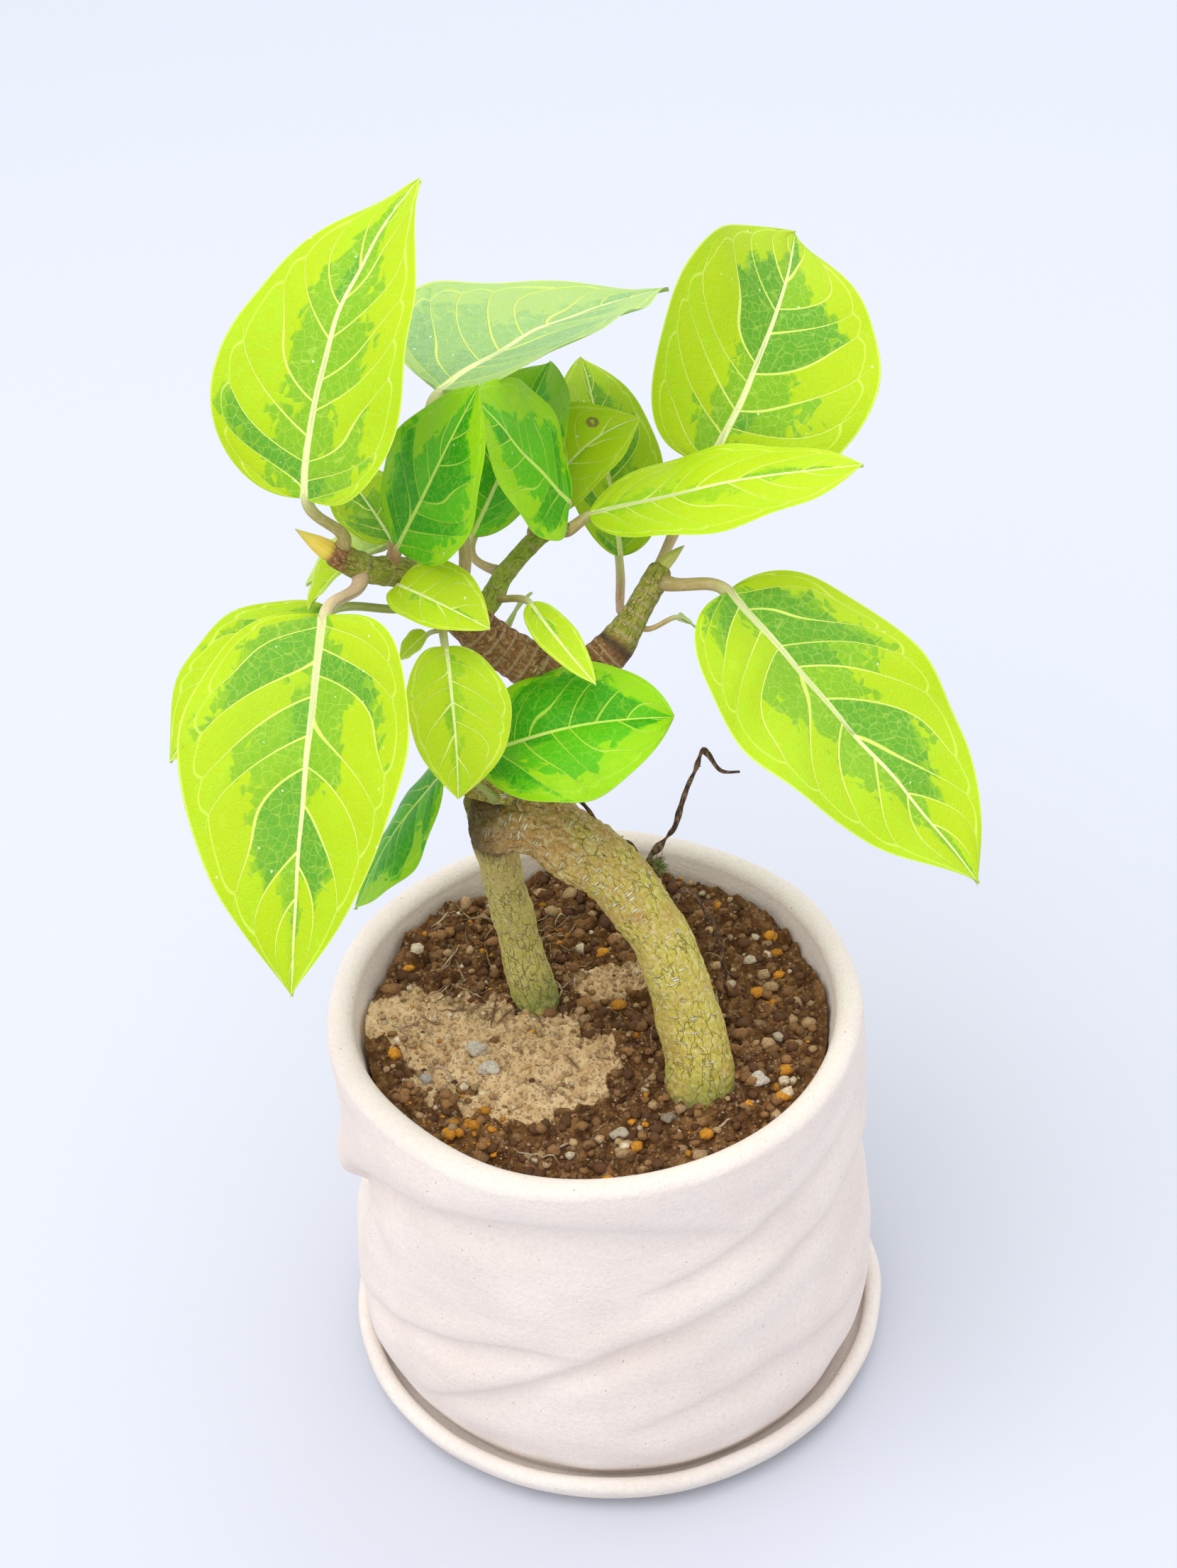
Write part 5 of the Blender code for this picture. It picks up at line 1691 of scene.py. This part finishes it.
@dataclass(frozen=True)
class Leaf:
    """One leaf: where its stalk springs from, and its blade's place, turn, size, outline and bend.

    turn is (heading, pitch, roll) in degrees. droop is how many degrees the midrib bends over its length,
    fold how far each half is raised, outline is (taper, belly, lobe), bow bends the midrib sideways and curl
    turns the margins down as a share of the half width. more_green widens the green patches, frost is the
    share of painted sheen, a pale bluish colour painted in for the sky reflected in the gloss, and slot is
    the material slot's kind where it isn't the leaf's own.
    """

    node: str
    carrier: str
    at: Point
    base: Point
    turn: Point
    size: tuple[float, float]
    droop: float
    fold: float
    outline: Point
    bow: float
    curl: float
    kind: LeafKind
    stalk: StalkTint
    spot: tuple[float, float] | None = None
    more_green: float = 0.0
    frost: float = 0.0
    slot: LeafKind | None = None

    VEIN_SWEEP = 0.12
    THICKNESS = 0.42
    NO_SPOT = 50.0
    STALK_END = (0.62, 0.66, 0.3)

    def axes(self) -> np.ndarray:
        """The blade's forward, sideways and upward directions.

        Returns:
            The three as rows.
        """
        heading, pitch, roll = (math.radians(angle) for angle in self.turn)
        level = np.array((math.cos(heading), math.sin(heading), 0.0))
        forward = level * math.cos(pitch) + UP * math.sin(pitch)
        up = UP * math.cos(pitch) - level * math.sin(pitch)
        side = np.cross(up, forward)
        tilted_side = side * math.cos(roll) - up * math.sin(roll)
        return np.array((forward, tilted_side, up * math.cos(roll) + side * math.sin(roll)))

    def point(self, along: np.ndarray, across: np.ndarray) -> tuple[np.ndarray, np.ndarray]:
        """Points of the upper side and the directions out of it.

        The midrib is an arc of droop degrees: forward and up by the integral of its slope. Across it, a half
        rises with the fold and turns down by curl x (across / half width)^2.

        Args:
            along: share of the length.
            across: distance from the midrib in millimetres, signed.

        Returns:
            Points and normals, each with a last axis of 3.
        """
        forward, side, up = self.axes()
        length, width = self.size
        bend = math.radians(max(abs(self.droop), 0.5))
        angle = bend / 2 - bend * along
        x = length * (math.sin(bend / 2) - np.sin(angle)) / bend
        z = length * (np.cos(angle) - math.cos(bend / 2)) / bend
        normal = up * np.cos(angle)[..., None] - forward * np.sin(angle)[..., None]
        fold = math.radians(self.fold)
        half = width / 2
        lift = np.abs(across) * math.sin(fold) - self.curl * (across / half) ** 2 * half
        sideways = across * math.cos(fold) + self.bow * 4 * along * (1 - along)
        point = np.array(self.base) + x[..., None] * forward + z[..., None] * up
        point = point + sideways[..., None] * side + lift[..., None] * normal
        return point, normal

    def rows(self, count: int) -> tuple[np.ndarray, np.ndarray, np.ndarray]:
        """Midrib place, margin place and half width of each row, as shares.

        With a = the row's angle from 0 to pi and u = (1 - cos a) / 2, the half width is
        sin a (1 + belly cos a) sqrt(1 - u^taper), scaled to 1 at its widest. The margin lies at
        u - lobe x width x (1 - u)^4, and the midrib lags behind it by VEIN_SWEEP sin(pi u).

        Args:
            count: number of spans.

        Returns:
            The three shares, each (count - 1,).
        """
        taper, belly, lobe = self.outline

        def raw(a: np.ndarray) -> np.ndarray:
            """The half width before scaling."""
            u = (1 - np.cos(a)) / 2
            return np.sin(a) * (1 + belly * np.cos(a)) * np.sqrt(np.clip(1 - u**taper, 0, 1))

        angle = np.arange(1, count) * math.pi / count
        u = (1 - np.cos(angle)) / 2
        width = raw(angle) / raw(np.linspace(0, math.pi, 400)).max()
        return u - self.VEIN_SWEEP * np.sin(math.pi * u), u - lobe * width * (1 - u) ** 4, width

    def blade(self, number: int) -> Surface:
        """The blade as a closed shell: a row of points over the top and back under it, from base to tip.

        The top is raised between the side veins by puff x |sin(pi v)|^0.8, with v the side vein number,
        sinks over the midrib, and waves towards the margin. The underside lies a thickness below, with a
        keel under the midrib and rounded ribs under the side veins.

        Args:
            number: the leaf's number, which seeds its waves.

        Returns:
            The blade with its stored values.
        """
        length, width = self.size
        rows = int(np.clip(length * 1.5, 36, 130))
        half_columns = int(np.clip(width * 0.5, 12, 30))
        midrib, margin, half_width = self.rows(rows)
        signed = np.linspace(-1, 1, 2 * half_columns + 1)
        top_share = np.sign(signed) * (1 - np.cos(math.pi * np.abs(signed) ** 1.15)) / 2
        share = np.concatenate([top_share, top_share[-2:0:-1]])[None, :]
        below = np.concatenate([np.zeros(len(top_share)), np.ones(len(top_share) - 2)])[None, :]
        along = midrib[:, None] + np.abs(share) ** 1.5 * (margin - midrib)[:, None]
        across = share * half_width[:, None] * width / 2
        point, normal = self.point(along, across)

        pitch = 1.6 + length / 9.4
        veins = length / pitch
        row_share = ((1 - np.cos(np.arange(1, rows) * math.pi / rows)) / 2)[:, None]
        stagger = np.where(share > 0, 0.38, 0.0)
        reach = np.abs(share)
        uneven = 0.2 * np.sin(2 * math.pi * 2.3 * row_share + number + 2.0 * np.sign(share))
        uneven = uneven + 0.12 * np.sin(2 * math.pi * 4.1 * row_share + 2.7 * number)
        vein = veins * (row_share - 0.17 * reach - 0.07 * reach**4) + stagger + 0.5 + uneven
        size = length / 88.0
        arch = np.sin(math.pi * np.clip(reach, 0, 1)) ** 0.6
        puff = 0.3 * size**0.7 * np.abs(np.sin(math.pi * vein)) ** 0.8 * arch
        phase = number * 1.7
        turns = 2 * math.pi * 2.6 * row_share + phase + 1.3 * np.sign(share)
        wave = 0.016 * width * np.sin(turns) * reach**3
        flat = np.stack([along * length, across, np.full_like(across, float(number * 13))], -1)
        wander = 0.35 * size * Grain(200 + number).at(flat, 24.0) * np.sin(math.pi * row_share) ** 0.5
        rib = np.exp(-((across / (0.9 * size * (1 - row_share) ** 0.7 + 0.25)) ** 2))
        top_relief = puff + wave + wander - 0.18 * size * rib
        keel = (1.0 * size * (1 - row_share) ** 0.8 + 0.1) * rib
        ribs = 0.2 * size * np.exp(-(((vein - np.round(vein)) * pitch / 0.45) ** 2)) * (1 - reach)
        thickness = self.THICKNESS * np.sqrt(np.clip(1 - reach**6, 0, 1)) * size**0.4 + 0.02
        surface = point + normal * (top_relief - below * (thickness + keel + ribs))[..., None]

        spot = np.full_like(across, self.NO_SPOT)
        if self.spot is not None:
            spot = np.hypot(flat[..., 0] - self.spot[0] * length, across - self.spot[1] * width / 2)
        ends, normals = self.point(np.array([0.0, 1.0]), np.zeros(2))
        return shell(
            surface,
            ends[0] - normals[0] * 0.2,
            ends[1] - normals[1] * 0.1,
            rib=np.stack(np.broadcast_arrays(vein, share, np.clip(row_share, 0, 1)), -1),
            flat=flat * np.array([1, 1, 0]),
            facts=np.broadcast_to(np.array([number * 3.0 + 1.0, size, pitch]), (*across.shape, 3)),
            underside=below + 0 * across,
            spot=spot,
            more_green=np.full_like(across, self.more_green),
            frost=np.full_like(across, self.frost),
        )

    def petiole(self, path: np.ndarray) -> Surface:
        """The stalk: a cubic curve from inside its stem to the blade, which runs on under the midrib.

        Args:
            path: the carrying stem's path.

        Returns:
            The stalk's tube, with a flared foot and its colour stored on it.
        """
        length = self.size[0]
        radius = 0.5 + 0.011 * length
        ends, normals = self.point(np.array([0.0, 0.02]), np.zeros(2))
        arrive = unit(ends[1] - ends[0])
        axis, out, stem_radius = carried_point(path, self.at, ends[0])
        start = axis + out * (stem_radius - 0.7)
        end = ends[0] - normals[0] * radius * 0.6
        reach = 0.35 * np.linalg.norm(end - start)
        knots = (start, start + out * reach, end - arrive * reach, end)
        t = np.linspace(0, 1, 34)[:, None]
        weights = ((1 - t) ** 3, 3 * t * (1 - t) ** 2, 3 * t**2 * (1 - t), t**3)
        curve = sum(weight * knot for weight, knot in zip(weights, knots))
        under_share = np.linspace(0.012, 0.5, 26)
        under, under_normals = self.point(under_share, np.zeros(26))
        girth_under = radius * 0.85 * (1 - under_share / 0.52) ** 0.6
        line = np.vstack([curve, under - under_normals * (0.3 + girth_under * 0.75)[:, None]])
        run = travelled(line)
        girth = np.concatenate([np.full(34, radius), girth_under])
        girth = girth * (1 + 0.45 * np.exp(-run / (radius * 2.2))) * (1 + 0.05 * Grain(7).at(line, 12.0))
        _, side, over = ring_frames(line, self.axes()[1])
        columns = 18
        angle = evenly(columns)
        rings = line[:, None] + spokes(side, over, angle) * girth[:, None, None]
        whole = np.ones((len(line), columns))
        fade = smoothstep(run, run[33] * 0.55, run[33] + length * 0.08)[:, None]
        tint = np.array(self.stalk.value) * (1 - fade) + np.array(self.STALK_END) * fade
        tint = tint * (1 - 0.35 * np.exp(-run / 1.6))[:, None]
        colour = np.concatenate([tint, np.ones((len(tint), 1))], -1)[:, None] * whole[..., None]
        around = np.broadcast_arrays(run[:, None] * 0.3, angle[None, :] * radius, np.zeros((1, 1)))
        flat = np.stack(around, -1)
        plain = {"spot": whole * self.NO_SPOT, "more_green": whole * 0.0, "frost": whole * 0.0}
        return shell(rings, line[0], line[-1], stalk=whole, stalk_colour=colour, flat=flat, **plain)

    def build(self, number: int, path: np.ndarray, material: bpy.types.Material) -> bpy.types.Object:
        """Makes the leaf.

        Args:
            number: its number, which seeds its pattern.
            path: the carrying stem's path.
            material: its finish.

        Returns:
            The leaf piece, blade and stalk.
        """
        whole = self.blade(number).joined(self.petiole(path))
        name = self.node.replace("leaf_", "fig_leaf_")
        return place_piece(whole.mesh_object(name, material), (self.slot or self.kind).value, self.node)


@dataclass
class Crown:
    """The leaves of the plant."""

    paths: dict[str, np.ndarray]

    def leaves(self) -> list[Leaf]:
        """The twenty-four leaves, from the crown down.

        Returns:
            The leaves, whose order numbers them.
        """
        lime, deep, yellow, pale = LeafKind.LIME, LeafKind.DEEP, LeafKind.YELLOW, LeafKind.PALE
        olive, pink, rose, tan, green = StalkTint
        left, right, twig = "left_branch", "right_branch", "middle_twig"
        return [
            Leaf("leaf_crown_left", left, (-58, 16, 245), (-62.5, 13, 262), (61, 40, 11), (83, 55), 59, 7,
                 (3.1, 0.45, 0.05), 0, -0.04, lime, olive, more_green=0.16),
            Leaf("leaf_big_left", left, (-52, 18.5, 239), (-60, -1, 239), (-99, -42, -20), (88, 61), 26, 12,
                 (3.6, 0.28, 0.04), 2, -0.03, lime, pink),
            Leaf("leaf_dark_front", left, (-46, 23, 233.5), (-43.5, 22.5, 240.5), (1, 63, -32), (49, 35),
                 20, -9, (2.4, 0.05, 0), -1.9, -0.11, deep, rose),
            Leaf("leaf_crown_back", left, (-33, 27, 220), (-32, 53.5, 264), (48, -8, 8), (87, 58), 13, 8,
                 (2.3, 0.4, 0), 2.8, -0.18, lime, tan, frost=0.62, more_green=0.14),
            Leaf("leaf_crown_right", right, (20, 45, 218), (33, 77, 224.5), (67, 23, -38), (77.5, 60), 59, 6,
                 (3.8, 0.09, 0.15), 0.5, -0.18, lime, pink),
            Leaf("leaf_folded_centre", twig, (-11, 46.5, 225), (-2.5, 53, 231), (-138, 57, 54), (51.5, 36),
                 2, -6, (3.9, 0.02, 0.15), 0.8, -0.15, deep, olive, slot=lime),
            Leaf("leaf_dark_back", twig, (-19, 39.5, 220), (-27, 57, 219.5), (64, 25, 10), (54.5, 36),
                 41, 18, (4.1, 0.19, 0.02), -3.5, 0.07, deep, tan),
            Leaf("leaf_spotted_yellow", twig, (-11, 46.5, 225), (-10, 68.5, 218), (25, 33, -17), (34.5, 27),
                 24, 13, (3.2, -0.09, 0.02), 3.6, -0.11, yellow, tan, spot=(0.72, 0.3)),
            Leaf("leaf_back_right", right, (12, 35, 209), (9.5, 69, 203), (98, 28, -18), (60, 31), 33, 22,
                 (3.6, 0.03, 0), 0.9, 0.18, lime, rose),
            Leaf("leaf_long_right", twig, (-5, 49.5, 227), (2, 52.5, 227.5), (-2, 10, 1), (68, 38), 12, -3,
                 (2.6, -0.13, 0), 0, 0, yellow, olive),
            Leaf("leaf_big_right", right, (17.5, 42, 214.5), (35, 33.5, 216), (-48, -29, 7), (93, 65), 2, 8,
                 (3.1, 0.1, 0.04), 0.5, 0.06, lime, tan),
            Leaf("leaf_tiny_right", right, (11, 34, 208), (23, 35.5, 207.5), (28, -51, 0), (8.5, 6), 20, 8,
                 (3, 0.1, 0), 0, 0, pale, tan),
            Leaf("leaf_green_centre", "leader", (-18, 19.5, 186), (-27, 2, 193.5), (1, 10, -15), (49, 43.5),
                 51, 20, (6, -0.03, 0), -0.9, 0.44, deep, green),
            Leaf("leaf_narrow_centre", twig, (-22.5, 34, 217), (-13, 25.5, 221), (-62, -9, -1), (31.5, 10.5),
                 9, 7, (2.9, 0.08, 0), -0.7, 0.04, yellow, olive),
            Leaf("leaf_heart_front", left, (-35, 27, 223), (-33, 6.5, 223), (-87, -40, 22), (36.5, 27),
                 15, 15, (3.4, -0.06, 0.04), 0, -0.06, yellow, olive, slot=lime),
            Leaf("leaf_small_yellow", left, (-39, 26.5, 227), (-43.5, 19, 232.5), (-37, -5, -18), (27, 19.5),
                 29, 18, (3.4, 0, 0.07), -0.6, -0.08, yellow, olive),
            Leaf("leaf_far_left", left, (-37, 27, 225), (-61, 24, 223), (-149, -29, -6), (53, 33), 30, 6,
                 (3.1, -0.1, 0), -1.2, -0.13, lime, green),
            Leaf("leaf_pale_left", left, (-35, 27, 223), (-47.5, 38, 231), (174, -31, -1), (24, 16.5),
                 43, 18, (3.2, 0.1, 0.1), 2.2, -0.1, pale, tan),
            Leaf("leaf_folded_left", left, (-48, 21, 235.5), (-52.5, 25, 238), (-174, -47, 0), (20, 14),
                 20, 20, (3, 0.1, 0.03), 0, 0, yellow, tan),
            Leaf("leaf_low_behind", "trunk", (-25.5, 11.5, 171.5), (-36.5, 8, 184.5), (-166, -56, -9),
                 (45, 29), 19, 5, (3, 0.1, 0), 0, 0.29, deep, green),
            Leaf("leaf_tiny_left", left, (-31, 27, 218), (-38, 18.5, 218.5), (-163, -39, 0), (9.5, 8), 20, 8,
                 (3, 0.1, 0.03), 0, 0, yellow, olive),
            Leaf("leaf_pale_upright", left, (-21, 26, 208), (-20.5, 34.5, 205), (58, 16, 60), (15, 9), 20, 8,
                 (3, 0.1, 0), 0, 0, pale, tan),
            Leaf("leaf_round_small", "leader", (-6, 23, 195), (-9.5, 31.5, 196), (161, 22, 0), (11, 9),
                 20, 8, (3, 0, 0), 0, 0, lime, tan),
            Leaf("leaf_yellow_left", left, (-45, 24.5, 232.5), (-45, 31, 237), (122, 21, 0), (26, 20), 20, 8,
                 (3, 0.1, 0.03), 0, 0, lime, rose),
        ]

    def build(self) -> None:
        """Makes every leaf with its kind's material."""
        materials = {kind: finish.material() for kind, finish in LEAF_FINISHES.items()}
        for number, leaf in enumerate(self.leaves(), start=1):
            leaf.build(number, self.paths[leaf.carrier], materials[leaf.kind])


# ----------------------------------------------------------------------------------------- the studio


@dataclass
class Studio:
    """A pale table, soft light from above and the left, and the camera."""

    table_half: float = 3.0
    eye: Point = (-0.00135, -0.56878, 0.64357)
    right: Point = (0.99876, -0.03125, -0.03877)
    up: Point = (0.04979, 0.62678, 0.77760)
    lens: float = 70.0
    sensor: float = 36.0
    sky: Colour = (0.93, 0.96, 1.0)
    sky_strength: float = 0.93

    def table(self) -> None:
        """The table: a grid that stays flat under the plant, z = 0."""
        steps = np.linspace(-self.table_half, self.table_half, 9)
        x, y = np.meshgrid(steps, steps, indexing="ij")
        i, j = np.meshgrid(np.arange(8), np.arange(8), indexing="ij")
        corner = (i * 9 + j).ravel()
        faces = np.stack([corner, corner + 9, corner + 10, corner + 1], -1)
        mesh = bpy.data.meshes.new("table_top")
        mesh.from_pydata(np.stack([x.ravel(), y.ravel(), 0 * x.ravel()], -1).tolist(), [], faces.tolist())
        mesh.materials.append(TableFinish().material())
        table = bpy.data.objects.new("table_top", mesh)
        bpy.context.scene.collection.objects.link(table)

    def softbox(
        self, name: str, place: Point, aim: Point, size: float, power: float, colour: Colour
    ) -> None:
        """A square area light.

        Args:
            name: its name.
            place: where it stands, in metres.
            aim: the place it faces.
            size: its side.
            power: its power in watts.
            colour: its colour.
        """
        lamp = bpy.data.lights.new(name, "AREA")
        lamp.size = size
        lamp.energy = power
        lamp.color = colour
        thing = bpy.data.objects.new(name, lamp)
        back = unit(np.array(place) - np.array(aim))
        side = unit(np.cross((0.0, 0.1, 1.0), back))
        turn = np.column_stack([side, np.cross(back, side), back])
        thing.matrix_world = Matrix.Translation(place) @ Matrix(turn.tolist()).to_4x4()
        bpy.context.scene.collection.objects.link(thing)

    def world(self) -> None:
        """An even pale sky."""
        world = bpy.data.worlds.new("pale_room")
        world.use_nodes = True
        background = world.node_tree.nodes["Background"]
        background.inputs["Color"].default_value = (*self.sky, 1.0)
        background.inputs["Strength"].default_value = self.sky_strength
        bpy.context.scene.world = world

    def camera(self) -> None:
        """The camera, a little to the front and above, looking down at the plant."""
        lens = bpy.data.cameras.new("view")
        lens.lens = self.lens
        lens.sensor_width = self.sensor
        lens.clip_start = 0.01
        camera = bpy.data.objects.new("view", lens)
        back = np.cross(self.right, self.up)
        turn = np.column_stack([self.right, self.up, back])
        camera.matrix_world = Matrix.Translation(self.eye) @ Matrix(turn.tolist()).to_4x4()
        bpy.context.scene.collection.objects.link(camera)
        bpy.context.scene.camera = camera

    def build(self) -> None:
        """Sets up the whole studio."""
        self.table()
        self.world()
        self.softbox("key_softbox", (-0.55, -0.35, 1.8), (0, 0, 0.1), 2.0, 26.0, (1.0, 0.985, 0.965))
        self.softbox("back_softbox", (0.9, 1.2, 1.6), (0, 0, 0.1), 1.8, 10.0, (0.97, 0.985, 1.0))
        self.camera()
        scene = bpy.context.scene
        scene.view_settings.view_transform = "Standard"
        scene.view_settings.look = "None"


def main() -> None:
    """Builds the studio and the plant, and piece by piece."""
    logging.basicConfig(level=logging.INFO, format="%(name)s %(message)s")
    Studio().build()
    Holder().build()
    Ground().build()
    paths = Wood().build()
    Crown(paths).build()


if __name__ == "__main__":
    main()
